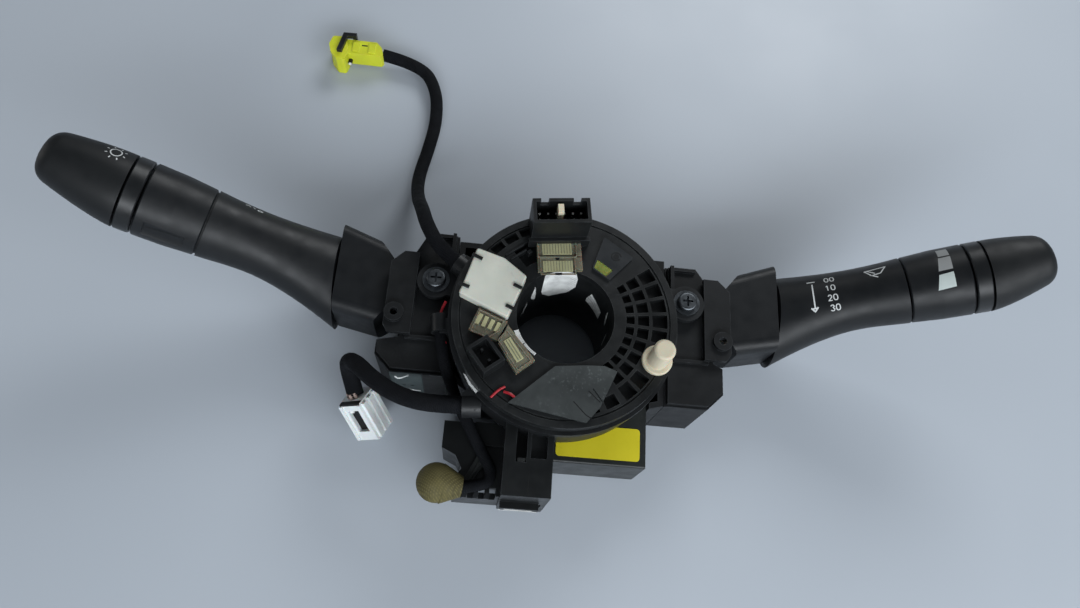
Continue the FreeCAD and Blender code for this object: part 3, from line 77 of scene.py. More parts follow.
SHORT_ROUTE = (
    (-0.0472, -0.003, 0.0404), (-0.0458, -0.0125, 0.0402), (-0.0418, -0.0225, 0.038),
    (-0.0376, -0.0315, 0.0362), (-0.0315, -0.041, 0.0355), (-0.026, -0.050, 0.034),
    (-0.0217, -0.0565, 0.0329), (-0.025, -0.0616, 0.0327), (-0.035, -0.0624, 0.033),
)


def lead(name, route, radius, node):
    curve = bpy.data.curves.new(name, "CURVE")
    curve.dimensions = "3D"
    curve.resolution_u = 16
    curve.bevel_depth = 1.0  # times each point's own radius
    curve.bevel_resolution = 6
    curve.use_fill_caps = True
    spline = curve.splines.new("NURBS")
    spline.points.add(len(route) - 1)
    for point, place in zip(spline.points, route):
        point.co = (*place, 1)
        point.radius = radius
    spline.order_u = 3
    spline.use_endpoint_u = True
    obj = bpy.data.objects.new(name, curve)
    scene.collection.objects.link(obj)
    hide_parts(node)
    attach(obj, "base")
    return obj


airbag_lead = lead("airbag_sleeve", AIRBAG_ROUTE, AIRBAG_LEAD_R,
                   "airbag_lead")
switch_lead = lead("switch_sleeve", SWITCH_ROUTE, SWITCH_LEAD_R,
                   "switch_lead")
short_lead = lead("short_sleeve", SHORT_ROUTE, SHORT_LEAD_R,
                  "short_lead")


# Materials
class Shader:
    """A material's nodes: mottled colour, grain, dust and worn edges."""

    def __init__(self, name):
        self.material = bpy.data.materials.new(name)
        self.material.use_nodes = True
        self.nodes = self.material.node_tree.nodes
        self.links = self.material.node_tree.links
        self.surface = self.nodes["Principled BSDF"]
        self.place = self.nodes.new("ShaderNodeTexCoord").outputs["Object"]

    def add(self, kind, **settings):
        node = self.nodes.new(kind)
        for key, value in settings.items():
            setattr(node, key, value)
        return node

    def join(self, source, target):
        self.links.new(source, target)

    def noise(self, size, detail=3.0, stretch=None):
        """Noise whose blotches are about size metres across."""
        place = self.place
        if stretch:
            mapping = self.add("ShaderNodeMapping")
            mapping.inputs["Scale"].default_value = stretch
            self.join(place, mapping.inputs["Vector"])
            place = mapping.outputs["Vector"]
        node = self.add("ShaderNodeTexNoise")
        node.inputs["Scale"].default_value = 1.0 / size
        node.inputs["Detail"].default_value = detail
        self.join(place, node.inputs["Vector"])
        return node.outputs["Fac"]

    def span(self, value, low, high, to_low, to_high):
        node = self.add("ShaderNodeMapRange")
        for key, number in zip(("From Min", "From Max", "To Min", "To Max"), (low, high, to_low, to_high)):
            node.inputs[key].default_value = number
        self.join(value, node.inputs["Value"])
        return node.outputs["Result"]

    def times(self, a, b):
        node = self.add("ShaderNodeMath", operation="MULTIPLY")
        self.join(a, node.inputs[0])
        self.join(b, node.inputs[1])
        return node.outputs[0]

    def mix(self, share, a, b):
        """Colour a where share is 0, b where it is 1. Each is a colour or a socket."""
        node = self.add("ShaderNodeMix", data_type="RGBA")
        self.join(share, node.inputs["Factor"])
        for value, socket in ((a, node.inputs[6]), (b, node.inputs[7])):
            if isinstance(value, tuple):
                socket.default_value = (*value, 1)
            else:
                self.join(value, socket)
        return node.outputs[2]

    def edges(self, radius):
        """1 on edges, 0 on faces."""
        bevel = self.add("ShaderNodeBevel", samples=4)
        bevel.inputs["Radius"].default_value = radius
        real = self.add("ShaderNodeNewGeometry")
        dot = self.add("ShaderNodeVectorMath", operation="DOT_PRODUCT")
        self.join(bevel.outputs["Normal"], dot.inputs[0])
        self.join(real.outputs["Normal"], dot.inputs[1])
        return self.span(dot.outputs["Value"], 0.99, 0.8, 0, 1)

    def bumps(self, *heights):
        """Bump from pairs of a height and how deep it is, in metres."""
        normal = None
        for height, depth in heights:
            bump = self.add("ShaderNodeBump")
            bump.inputs["Strength"].default_value = 1
            bump.inputs["Distance"].default_value = depth
            self.join(height, bump.inputs["Height"])
            if normal:
                self.join(normal, bump.inputs["Normal"])
            normal = bump.outputs["Normal"]
        self.join(normal, self.surface.inputs["Normal"])


def tint(colour, factor):
    return tuple(min(1.0, c * factor) for c in colour)


def plastic(name, colour, rough=0.45, vary=0.25, worn=None, wear=0.5, edge=0.0005, grain=0.0003,
            depth=0.00002, dust=0.0, specular=0.36, blotch=0.012, subsurface=0.0):
    """Moulded plastic. worn is its colour on rubbed edges and dust the share of pale dust."""
    s = Shader(name)
    mottled = s.mix(s.span(s.noise(blotch), 0.3, 0.7, 0, 1), tint(colour, 1 - vary), tint(colour, 1 + vary))
    if dust:
        small, patches = s.noise(0.0011, 5), s.noise(0.02, 2)
        specks = s.times(s.span(small, 0.56, 0.74, 0, 1), s.span(patches, 0.4, 0.65, 0, dust))
        mottled = s.mix(specks, mottled, tint(colour, 3.0) if max(colour) < 0.1 else tint(colour, 0.6))
    rubbed = s.times(s.edges(edge), s.span(s.noise(0.004, 4), 0.35, 0.65, 0.15 * wear, wear))
    s.join(s.mix(rubbed, mottled, worn or tint(colour, 2.2)), s.surface.inputs["Base Color"])
    s.join(s.span(s.noise(0.006, 4), 0.25, 0.75, rough - 0.07, rough + 0.09), s.surface.inputs["Roughness"])
    s.bumps((s.noise(grain, 2), depth), (s.noise(0.01, 2), depth * 1.5))
    s.surface.inputs["Specular IOR Level"].default_value = specular
    if subsurface:
        s.surface.inputs["Subsurface Weight"].default_value = subsurface
        s.surface.inputs["Subsurface Scale"].default_value = 0.002
    return s.material


def metal(name, colour, rough=0.35):
    s = Shader(name)
    mottled = s.mix(s.span(s.noise(0.002), 0.3, 0.7, 0, 1), tint(colour, 0.7), tint(colour, 1.2))
    worn = s.mix(s.times(s.edges(0.0003), s.noise(0.001)), mottled, tint(colour, 2.5))
    s.join(worn, s.surface.inputs["Base Color"])
    s.join(s.span(s.noise(0.003, 4), 0.25, 0.75, rough - 0.1, rough + 0.15), s.surface.inputs["Roughness"])
    s.bumps((s.noise(0.0005, 3), 0.00001))
    s.surface.inputs["Metallic"].default_value = 1.0
    return s.material


def woven(name, colour, thread=0.0006, rough=0.8, specular=0.3):
    """Cloth tape or a braided sleeve."""
    s = Shader(name)
    waves = []
    for turn in (0.0, math.pi / 2):
        mapping = s.add("ShaderNodeMapping")
        mapping.inputs["Rotation"].default_value = (0.4, 0.3, turn + 0.6)
        s.join(s.place, mapping.inputs["Vector"])
        wave = s.add("ShaderNodeTexWave")
        wave.inputs["Scale"].default_value = 0.3 / thread
        wave.inputs["Distortion"].default_value = 1.5
        s.join(mapping.outputs["Vector"], wave.inputs["Vector"])
        waves.append(wave.outputs["Fac"])
    weave = s.times(*waves)
    blotches = s.mix(s.span(s.noise(0.005, 4), 0.3, 0.7, 0, 1), tint(colour, 0.65), tint(colour, 1.3))
    s.join(s.mix(weave, blotches, tint(colour, 1.7)), s.surface.inputs["Base Color"])
    s.join(s.span(s.noise(0.004), 0.3, 0.7, rough - 0.1, rough + 0.1), s.surface.inputs["Roughness"])
    s.bumps((weave, 0.00012), (s.noise(0.003, 3), 0.0003))
    s.surface.inputs["Specular IOR Level"].default_value = specular
    return s.material


def clear(name, colour, rough=0.25):
    """Milky see-through plastic."""
    s = Shader(name)
    milky = s.mix(s.span(s.noise(0.004, 4), 0.3, 0.7, 0, 1), tint(colour, 0.75), tint(colour, 1.2))
    s.join(s.mix(s.edges(0.0005), milky, tint(colour, 1.6)), s.surface.inputs["Base Color"])
    s.join(s.span(s.noise(0.005), 0.3, 0.7, rough - 0.06, rough + 0.1), s.surface.inputs["Roughness"])
    s.bumps((s.noise(0.0015, 3), 0.00008))
    s.surface.inputs["Subsurface Weight"].default_value = 0.35
    s.surface.inputs["Subsurface Scale"].default_value = 0.003
    s.surface.inputs["Transmission Weight"].default_value = 0.12
    return s.material


BLACK = (0.0062, 0.0070, 0.0078)
FINISH = {
    "housing": plastic("housing_black", BLACK, rough=0.50, specular=0.28, dust=0.5,
                       worn=(0.06, 0.065, 0.07), wear=0.7),
    "stator": plastic("stator_black", (0.009, 0.010, 0.011), rough=0.42, dust=0.4,
                      worn=(0.05, 0.055, 0.06), wear=0.6),
    "rotor": plastic("rotor_black", (0.0085, 0.0095, 0.010), rough=0.40, dust=0.7,
                     worn=(0.07, 0.075, 0.075),
                     wear=0.8, edge=0.0004),
    "cover": plastic("service_black", (0.042, 0.047, 0.047), rough=0.35, dust=0.9,
                     worn=(0.06, 0.065, 0.07)),
    "sensor": plastic("sensor_black", (0.015, 0.017, 0.0165), rough=0.38, dust=0.5,
                      worn=(0.05, 0.055, 0.06)),
    "connector": plastic("connector_black", (0.008, 0.009, 0.0095), rough=0.36, worn=(0.06, 0.065, 0.07),
                         wear=0.8),
    "lever": plastic("lever_black", (0.0064, 0.0074, 0.0086), rough=0.43, specular=0.30, vary=0.12,
                     worn=(0.035, 0.038, 0.042),
                     wear=0.35, grain=0.00022, depth=0.000018, blotch=0.03),
    "knob": plastic("knob_black", (0.0068, 0.0078, 0.0086), rough=0.50, specular=0.30, vary=0.12,
                    worn=(0.04, 0.043, 0.046),
                    wear=0.3, grain=0.00025, depth=0.000022, blotch=0.03),
    "ring": plastic("ring_black", (0.008, 0.009, 0.010), rough=0.36, vary=0.12, worn=(0.04, 0.043, 0.046),
                    wear=0.4, grain=0.00022, depth=0.000012),
    "white_plastic": plastic("ivory_plastic", (0.62, 0.56, 0.42), rough=0.42, vary=0.06,
                             worn=(0.72, 0.68, 0.56),
                             wear=0.5, dust=0.15, subsurface=0.15),
    "white_cover": plastic("milk_plastic", (0.56, 0.57, 0.50), rough=0.44, vary=0.07,
                           worn=(0.70, 0.70, 0.66),
                           wear=0.6, dust=0.3, subsurface=0.15),
    "pure_white": plastic("white_nylon", (0.74, 0.77, 0.77), rough=0.40, vary=0.05, worn=(0.85, 0.86, 0.86),
                          wear=0.5, dust=0.2, subsurface=0.15),
    "clear_retainer": clear("clear_beige", (0.17, 0.16, 0.115)),
    "grey_plate": plastic("smoke_plate", (0.018, 0.020, 0.022), rough=0.34, vary=0.12, dust=0.3, wear=0.6),
    "index_window": clear("window_green", (0.24, 0.27, 0.06), rough=0.2),
    "yellow_plastic": plastic("yellow_nylon", (0.60, 0.64, 0.03), rough=0.42, vary=0.10,
                              worn=(0.75, 0.78, 0.15),
                              wear=0.6, dust=0.2, subsurface=0.1),
    "label": plastic("label_yellow", (0.60, 0.52, 0.02), rough=0.35, vary=0.05, wear=0.2, dust=0.2,
                     grain=0.0008,
                     depth=0.000008),
    "sleeve": woven("sleeve_black", (0.0042, 0.0048, 0.0062), specular=0.12),
    "tape": woven("tape_khaki", (0.078, 0.067, 0.024), thread=0.0008, rough=0.7),
    "flat_cable": plastic("flat_cable", (0.20, 0.12, 0.04), rough=0.3),
    "board": plastic("board_green", (0.015, 0.07, 0.03), rough=0.4),
    "terminal": metal("tinned_terminal", (0.55, 0.55, 0.52)),
    "screw": metal("dark_zinc", (0.11, 0.12, 0.13), rough=0.38),
    "print": plastic("print_white", (0.62, 0.64, 0.64), rough=0.5, vary=0.10, wear=0.0, depth=0.000004),
    # Adjuster-bar print darkened to grey: painted shade on the ring's rear-facing bars.
    "print_grey_painted_shade": plastic("print_grey_painted_shade", (0.30, 0.31, 0.31), rough=0.5, vary=0.12, wear=0.0, depth=0.000004),
    "red_wire": plastic("wire_red", (0.33, 0.014, 0.022), rough=0.4, vary=0.15),
    "felt": woven("felt_white", (0.66, 0.68, 0.66), thread=0.0004),
    # Adjuster-bar print in a pale bluish tone: painted light and sheen on the ring's near-facing bar.
    "print_pale_painted_light": plastic("print_pale_painted_light", (0.50, 0.56, 0.54), rough=0.45, vary=0.10, wear=0.0,
                          depth=0.000004),
    "ivory_band": plastic("ivory_band", (0.38, 0.37, 0.21), rough=0.38, vary=0.10, wear=0.3, dust=0.2),
    "panel_grey": plastic("panel_grey", (0.026, 0.038, 0.038), rough=0.42, vary=0.15, dust=0.2, wear=0.4),
    # Near-black for gaps, holes and slits, and for painted shade inside the white plug's window.
    "black_gap": plastic("gap_and_shade_black", (0.0035, 0.004, 0.0045), rough=0.6, vary=0.2, wear=0.0),
    "lever_gap": plastic("lever_gap", (0.004, 0.0045, 0.005), rough=0.6, vary=0.2, wear=0.0),
    "beige_wire": plastic("wire_beige", (0.30, 0.22, 0.19), rough=0.45, vary=0.15, wear=0.1),
}
LOOK = {
    "stator": ("stator_case", "stator_ring"),
    "rotor": ("rotor_disc", "rotor_frame"),
    "cover": ("service_cover",),
    "sensor": ("sas_case", "sas_cover"),
    "connector": ("wheel_connector", "side_socket", "connector_block", "connector_block_clip",
                  "airbag_connector_lock", "white_cover_clips"),
    "ring": ("left_index_ring", "right_index_ring"),
    "knob": ("left_end_knob", "right_end_knob"),
    "white_cover": ("white_cover",),
    "pure_white": ("switch_connector",),
}


def dress_nodes():
    own = {node: look for look, nodes in LOOK.items() for node in nodes}
    for name, obj in NODES.items():
        slot = obj.material_slots[0]
        asked = slot.material.name.split(".")[0] if slot.material else "housing"
        finish = FINISH[own.get(name, asked if asked in FINISH else "housing")]
        slot.link = "OBJECT"
        slot.material = finish


dress_nodes()
for sleeve in (airbag_lead, switch_lead, short_lead):
    sleeve.data.materials.append(FINISH["sleeve"])


def piece(name, form, body, look, bevel=0.0):
    """Object from a form in millimetres, riding on a body, in one of the finishes."""
    bmesh.ops.recalc_face_normals(form, faces=form.faces)
    bmesh.ops.scale(form, vec=(MM, MM, MM), verts=form.verts)
    mesh = bpy.data.meshes.new(name)
    form.to_mesh(mesh)
    form.free()
    obj = bpy.data.objects.new(name, mesh)
    scene.collection.objects.link(obj)
    mesh.materials.append(FINISH[look])
    if bevel:
        soft = obj.modifiers.new("soft_edges", "BEVEL")
        soft.width = bevel * MM
        soft.segments = 2
        soft.limit_method = "ANGLE"
    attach(obj, body)
    return obj


def prism(form, points, z0, z1):
    """Polygon raised from z0 to z1."""
    low = [form.verts.new((x, y, z0)) for x, y in points]
    high = [form.verts.new((x, y, z1)) for x, y in points]
    form.faces.new(low[::-1])
    form.faces.new(high)
    count = len(points)
    for i in range(count):
        j = (i + 1) % count
        form.faces.new((low[i], low[j], high[j], high[i]))


def disc(form, x, y, radius, z0, z1, sides=20):
    prism(form, [(x + radius * math.cos(math.tau * i / sides), y + radius * math.sin(math.tau * i / sides))
                 for i in range(sides)], z0, z1)


def band(form, path, width, z0, z1):
    """Flat band of one width along a path."""
    points = [Vector(p) for p in path]
    left, right = [], []
    for i, point in enumerate(points):
        before = (point - points[i - 1]).normalized() if i else (points[1] - point).normalized()
        after = (points[i + 1] - point).normalized() if i + 1 < len(points) else before
        along = (before + after).normalized()
        across = Vector((-along.y, along.x)) * (width / 2) / max(0.3, along.dot(after))
        left.append(tuple(point + across))
        right.append(tuple(point - across))
    for i in range(len(points) - 1):
        prism(form, [right[i], right[i + 1], left[i + 1], left[i]], z0, z1)


def tube(form, path, radius, sides=10):
    """Round wire through the path's points, smoothed."""
    points = [Vector(p) for p in path]
    for _ in range(2):
        finer = [points[0]]
        for a, b in zip(points, points[1:]):
            finer += [a.lerp(b, 0.25), a.lerp(b, 0.75)]
        points = finer + [points[-1]]
    rings = []
    for i, point in enumerate(points):
        along = (points[min(i + 1, len(points) - 1)] - points[max(i - 1, 0)]).normalized()
        side = (side - along * side.dot(along) if rings else along.orthogonal()).normalized()
        up = along.cross(side)
        rings.append([form.verts.new(point + radius * (side * math.cos(math.tau * k / sides)
                                                       + up * math.sin(math.tau * k / sides)))
                      for k in range(sides)])
    for low, high in zip(rings, rings[1:]):
        for k in range(sides):
            form.faces.new((low[k], low[(k + 1) % sides], high[(k + 1) % sides], high[k]))
    form.faces.new(rings[0][::-1])
    form.faces.new(rings[-1])


def at(points, angle, x, y):
    """Points turned by an angle in degrees and moved."""
    c, s = math.cos(math.radians(angle)), math.sin(math.radians(angle))
    return [(x + c * u - s * v, y + s * u + c * v) for u, v in points]


def rect(x0, x1, y0, y1):
    return [(x0, y0), (x1, y0), (x1, y1), (x0, y1)]


BORE_WALL = 18.52
TAPE_THICK = 0.06


def wall_patch(form, columns):
    """Patch on the bore's wall from columns of an angle, a low and a high end."""
    fine = []
    for (a0, l0, h0), (a1, l1, h1) in zip(columns, columns[1:]):
        steps = max(1, round(abs(a1 - a0) / 3))
        fine += [tuple(p + (q - p) * k / steps for p, q in zip((a0, l0, h0), (a1, l1, h1)))
                 for k in range(steps)]
    fine.append(columns[-1])
    inside = BORE_WALL - TAPE_THICK
    rows = []
    for angle, low, high in fine:
        c, s = math.cos(math.radians(angle)), math.sin(math.radians(angle))
        rows.append([form.verts.new((r * c, r * s, z)) for r, z in
                     ((BORE_WALL, low), (BORE_WALL, high), (inside, high), (inside, low))])
    for a, b in zip(rows, rows[1:]):
        for k in range(4):
            form.faces.new((a[k], a[(k + 1) % 4], b[(k + 1) % 4], b[k]))
    form.faces.new(rows[0])
    form.faces.new(rows[-1][::-1])


# Heights and places on the rotor
ROTOR_TOP = 57.7
RETAINER_TOP = 60.0
PLATE_TOP = 58.7
COVER_TOP = 58.88
RETAINER = (6.5, -4.6, 22.3)  # the rear retainer's turn and middle


def dress_rotor():
    form = bmesh.new()
    for y0, y1 in ((1.6, 6.6), (-5.6, -0.9)):
        prism(form, at(rect(-5.7, 5.7, y0, y1), *RETAINER), RETAINER_TOP, RETAINER_TOP + 0.3)
    for corners in (((-33.0, -7.1), (-31.4, -3.1)), ((-30.6, -8.0), (-29.3, -4.0)),
                    ((-28.3, -8.8), (-26.9, -5.1)), ((-25.9, -9.6), (-24.5, -6.0))):
        band(form, corners, 1.5, RETAINER_TOP, RETAINER_TOP + 0.6)
    prism(form, [(-22.6, -13.1), (-20.2, -11.2), (-14.7, -18.9), (-17.1, -20.8)], RETAINER_TOP + 0.4,
          RETAINER_TOP + 0.8)
    piece("retainer_bands", form, "rotor", "ivory_band", bevel=0.12)

    form = bmesh.new()
    for row in (1.6, -5.6):
        for k in range(10):
            x = -5.0 + 1.1 * k
            prism(form, at(rect(x, x + 0.22, row + 0.3, row + 4.5), *RETAINER), RETAINER_TOP + 0.28,
                  RETAINER_TOP + 0.42)
    for share in (0.33, 0.66):
        start = Vector((-22.6, -13.1)).lerp(Vector((-20.2, -11.2)), share)
        end = Vector((-17.1, -20.8)).lerp(Vector((-14.7, -18.9)), share)
        band(form, [tuple(start.lerp(end, 0.04)), tuple(start.lerp(end, 0.96))], 0.3, RETAINER_TOP + 0.78,
             RETAINER_TOP + 0.9)
    piece("retainer_lines", form, "rotor", "clear_retainer")

    form = bmesh.new()
    for loop in (rect(-7.4, 7.4, 0.6, 7.4), rect(-6.6, 6.6, -6.6, 0.4)):
        band(form, at(loop + loop[:1], *RETAINER), 0.45, RETAINER_TOP, RETAINER_TOP + 0.75)
    for loop in ([(-35.2, -10.2), (-32.4, -1.4), (-22.7, -5.2), (-24.4, -9.4), (-28.4, -12.6)],
                 [(-25.0, -12.6), (-21.9, -8.2), (-11.6, -19.9), (-16.4, -24.0)]):
        middle = sum((Vector(p) for p in loop), Vector((0, 0))) / len(loop)
        inner = [tuple(middle + (Vector(p) - middle) * 0.93) for p in loop]
        band(form, inner + inner[:1], 0.4, RETAINER_TOP, RETAINER_TOP + 0.85)
    piece("retainer_rims", form, "rotor", "clear_retainer", bevel=0.08)

    form = bmesh.new()
    disc(form, RETAINER[1], RETAINER[2], 0.75, RETAINER_TOP + 0.2, RETAINER_TOP + 0.6)
    prism(form, at(rect(-1.3, 1.3, -6.9, -6.2), *RETAINER), RETAINER_TOP + 0.1, RETAINER_TOP + 0.8)
    disc(form, 18.4, 26.2, 1.1, PLATE_TOP, PLATE_TOP + 0.08)
    band(form, [(18.4 + 1.9 * math.cos(a * 0.7), 26.2 + 1.7 * math.sin(a * 0.7)) for a in range(9)],
         0.5, PLATE_TOP, PLATE_TOP + 0.06)
    for slit in (((4.4, -32.9), (9.1, -37.5)), ((9.7, -28.5), (14.1, -32.4)),
                 ((9.1, -37.5), (11.2, -38.6))):
        band(form, slit, 0.36, COVER_TOP, COVER_TOP + 0.07)
    piece("rotor_marks", form, "rotor", "black_gap")

    form = bmesh.new()
    prism(form, at(rect(-1.1, 1.1, -1.9, 1.9), 6.5, -5.6, 36.0), 69.5, 75.15)
    piece("connector_key", form, "rotor", "white_plastic", bevel=0.15)

    form = bmesh.new()
    wall_patch(form, [(117.5, 40, 56), (115, 36.5, 57), (105, 32.6, 57.2), (95, 34, 57.2), (84, 37, 57),
                      (79, 41, 56.5), (75.5, 44.4, 52)])
    wall_patch(form, [(57.5, 37, 40), (53, 36, 46), (42, 34.5, 43), (31, 33, 40.5)])
    wall_patch(form, [(132.5, 38.5, 41), (128.5, 35.5, 48.5), (125.5, 35, 40)])
    wall_patch(form, [(147, 25.5, 27.5), (138, 33.5, 37)])
    wall_patch(form, [(15.5, 38, 41), (18, 39, 45), (20.5, 46, 49)])
    wall_patch(form, [(-0.7, 28, 30), (1.2, 29, 38), (2.8, 37.5, 40)])
    for start, end, inner, outer in ((202, 219, 18.7, 20.4), (220, 237, 18.7, 19.7)):
        arc = [math.radians(start + (end - start) * k / 6) for k in range(7)]
        loop = [(outer * math.cos(a), outer * math.sin(a)) for a in arc]
        loop += [(inner * math.cos(a), inner * math.sin(a)) for a in reversed(arc)]
        prism(form, loop, ROTOR_TOP, ROTOR_TOP + 0.15)
    piece("bore_tape", form, "rotor", "felt")

    form = bmesh.new()
    band(form, [(-24.4, 22.7), (-17.8, 28.0)], 0.7, ROTOR_TOP - 2.5, ROTOR_TOP + 0.5)
    band(form, [(-22.3, 21.3), (-16.6, 25.9)], 0.7, ROTOR_TOP - 2.5, ROTOR_TOP + 0.5)
    prism(form, at(rect(-0.8, 0.8, -0.7, 0.7), 39, -15.3, 24.9), ROTOR_TOP - 2.5, ROTOR_TOP + 1.0)
    piece("rotor_rails", form, "rotor", "connector", bevel=0.12)

    form = bmesh.new()
    tube(form, [(-25.4, -33.8, 58.2), (-22.8, -30.8, 58.5), (-20.6, -29.4, 58.1)], 0.45)
    tube(form, [(-20.8, -31.2, 57.9), (-18.5, -31.9, 58.7), (-16.6, -33.2, 58.3)], 0.5)
    piece("rotor_wires", form, "rotor", "red_wire")


def front_plate(form, x0, x1, z0, z1, y, thick):
    """Plate on a face that looks to the near side."""
    corners = [form.verts.new((x, depth, z)) for depth in (y, y - thick)
               for x, z in ((x0, z0), (x1, z0), (x1, z1), (x0, z1))]
    for ids in ((0, 1, 2, 3), (4, 5, 6, 7), (0, 1, 5, 4), (1, 2, 6, 5), (2, 3, 7, 6), (3, 0, 4, 7)):
        form.faces.new([corners[i] for i in ids])


CASE_FRONT = -20.3
BLOCK_TOP = 44.98
SHELF_TOP = 30.0


def dress_base():
    form = bmesh.new()
    front_plate(form, -65.6, -52.9, 3.0, 33.6, CASE_FRONT, 0.25)
    piece("case_panel", form, "base", "panel_grey", bevel=0.1)
    form = bmesh.new()
    for x, z in ((-60.6, 15.9), (-57.3, 16.0)):
        tube(form, [(x, CASE_FRONT - 0.2, z), (x, CASE_FRONT - 0.28, z)], 0.75, sides=16)
    front_plate(form, -52.4, -44.3, 6.0, 33.3, CASE_FRONT, 0.2)
    for x in (-9.0, -16.9):
        band(form, [(x + 0.2, -54.0), (x, -65.0)], 0.3, BLOCK_TOP, BLOCK_TOP + 0.06)
    band(form, [(-8.6, -52.4), (-2.4, -52.2)], 0.3, BLOCK_TOP, BLOCK_TOP + 0.06)
    piece("base_gaps", form, "base", "black_gap")
    form = bmesh.new()
    tube(form, [(-63.6, CASE_FRONT - 0.4, 28.2), (-62.3, CASE_FRONT - 0.4, 25.0),
                (-58.0, CASE_FRONT - 0.4, 31.4)], 0.32)
    tube(form, [(-60.2, CASE_FRONT - 0.3, 9.8), (-54.2, CASE_FRONT - 0.3, 8.9)], 0.22)
    prism(form, [(-36.2, -24.0), (-35.2, -24.6), (-33.0, -27.6), (-30.2, -30.4), (-30.9, -31.2),
                 (-33.8, -28.1)], 52.35, 52.55)
    front_plate(form, -18.3, -3.5, 23.6, 24.3, -68.0, 0.5)
    prism(form, rect(-13.3, -10.3, -53.2, -51.2), 38.0, 40.8)
    piece("base_white_bits", form, "base", "felt")
    form = bmesh.new()
    for x in (-32.9, -28.7, -24.5):
        prism(form, [(x, -65.7), (x + 1.9, -65.7), (x + 2.4, -63.6), (x + 0.8, -63.2)], SHELF_TOP,
              SHELF_TOP + 0.2)
    front_plate(form, -49.6, -44.8, 33.4, 34.3, CASE_FRONT, 0.5)
    piece("pale_edges", form, "base", "grey_plate", bevel=0.05)
    form = bmesh.new()
    prism(form, [(-33.1, -60.3), (-29.0, -60.1), (-24.6, -51.8), (-27.4, -48.2)], SHELF_TOP - 0.1,
          SHELF_TOP + 1.3)
    prism(form, [(-31.2, -60.2), (-30.2, -60.2), (-25.4, -50.6), (-26.2, -49.8)], SHELF_TOP + 1.2,
          SHELF_TOP + 1.9)
    piece("block_rib", form, "base", "sensor", bevel=0.25)
    form = bmesh.new()
    tube(form, [(-46.1, 7.6, 41.8), (-47.6, 3.2, 42.0), (-47.5, -2.1, 41.8), (-46.1, -6.4, 41.4),
                (-44.4, -9.6, 41.2)], 0.55)
    piece("case_wire", form, "base", "red_wire")


# The prints on the levers, by distance along the arm and angle round it
ARM_TURN = math.radians(8.5)
ARM_RISE = math.radians(24.0)
ARM_START = Vector((93.8, 23.3, 22.0))
PER_DEGREE = 0.23  # mm round the lever
PRINT_LIFT = 0.03


def arm_axes(side):
    out = Vector((side * math.cos(ARM_TURN) * math.cos(ARM_RISE), math.sin(ARM_TURN) * math.cos(ARM_RISE),
                  math.sin(ARM_RISE)))
    rear = Vector((-side * math.sin(ARM_TURN), math.cos(ARM_TURN), 0))
    return Vector((side * ARM_START.x, ARM_START.y, ARM_START.z)), out, rear, out.cross(rear) * side


def skin(node):
    mesh = NODES[node].data
    return BVHTree.FromPolygons([v.co for v in mesh.vertices], [p.vertices for p in mesh.polygons])


def on_skin(tree, axes, s, angle, lift):
    """Point just over a lever's skin at a distance along its arm and an angle round it."""
    start, out, rear, up = axes
    turn = math.radians(angle)
    away = up * math.cos(turn) - rear * math.sin(turn)
    origin = (start + out * s + away * 40) * MM
    spot, normal, _, _ = tree.ray_cast(origin, -away)
    return (spot + normal * lift * MM) / MM if spot else start + out * s + away * 14


def print_paths(form, node, side, paths, width, lift=PRINT_LIFT):
    """Flat strokes along paths of distance and angle, laid on the skin."""
    tree, axes = skin(node), arm_axes(side)
    for path in paths:
        fine = [Vector(path[0])]
        for a, b in zip(path, path[1:]):
            steps = max(1, round(math.hypot(b[0] - a[0], (b[1] - a[1]) * PER_DEGREE) / 0.4))
            fine += [Vector(a).lerp(Vector(b), (k + 1) / steps) for k in range(steps)]
        rows = []
        for i, point in enumerate(fine):
            along = fine[min(i + 1, len(fine) - 1)] - fine[max(i - 1, 0)]
            flat = Vector((along.x, along.y * PER_DEGREE)).normalized()
            across = Vector((-flat.y, flat.x / PER_DEGREE)) * width / 2
            rows.append([form.verts.new(on_skin(tree, axes, *(point + across * k), lift))
                         for k in (-1, 0, 1)])
        for low, high in zip(rows, rows[1:]):
            for k in range(2):
                form.faces.new((low[k], low[k + 1], high[k + 1], high[k]))


def print_patch(form, node, side, corners, cells=6):
    """Filled patch between four corners of distance and angle."""
    tree, axes = skin(node), arm_axes(side)
    a, b, c, d = (Vector(p) for p in corners)

    def spot(u, v):
        place = a.lerp(b, u / cells).lerp(d.lerp(c, u / cells), v / cells)
        return form.verts.new(on_skin(tree, axes, *place, PRINT_LIFT))

    grid = [[spot(u, v) for u in range(cells + 1)] for v in range(cells + 1)]
    for low, high in zip(grid, grid[1:]):
        for u in range(cells):
            form.faces.new((low[u], low[u + 1], high[u + 1], high[u]))


def seam_core(form, node, side):
    """Dark core just under a ring's skin, which closes the seam before the ring."""
    tree, axes = skin(node), arm_axes(side)
    start, out = axes[0], axes[1]
    begin = min((v.co / MM - start).dot(out) for v in NODES[node].data.vertices)
    loop = [on_skin(tree, axes, begin + 1.0, angle, -0.9) for angle in range(0, 360, 10)]
    low, high = ([form.verts.new(p + out * (shift - 1.0)) for p in loop] for shift in (-1.4, 0.3))
    for k in range(len(loop)):
        after = (k + 1) % len(loop)
        form.faces.new((low[k], low[after], high[after], high[k]))
    form.faces.new(low)
    form.faces.new(high[::-1])


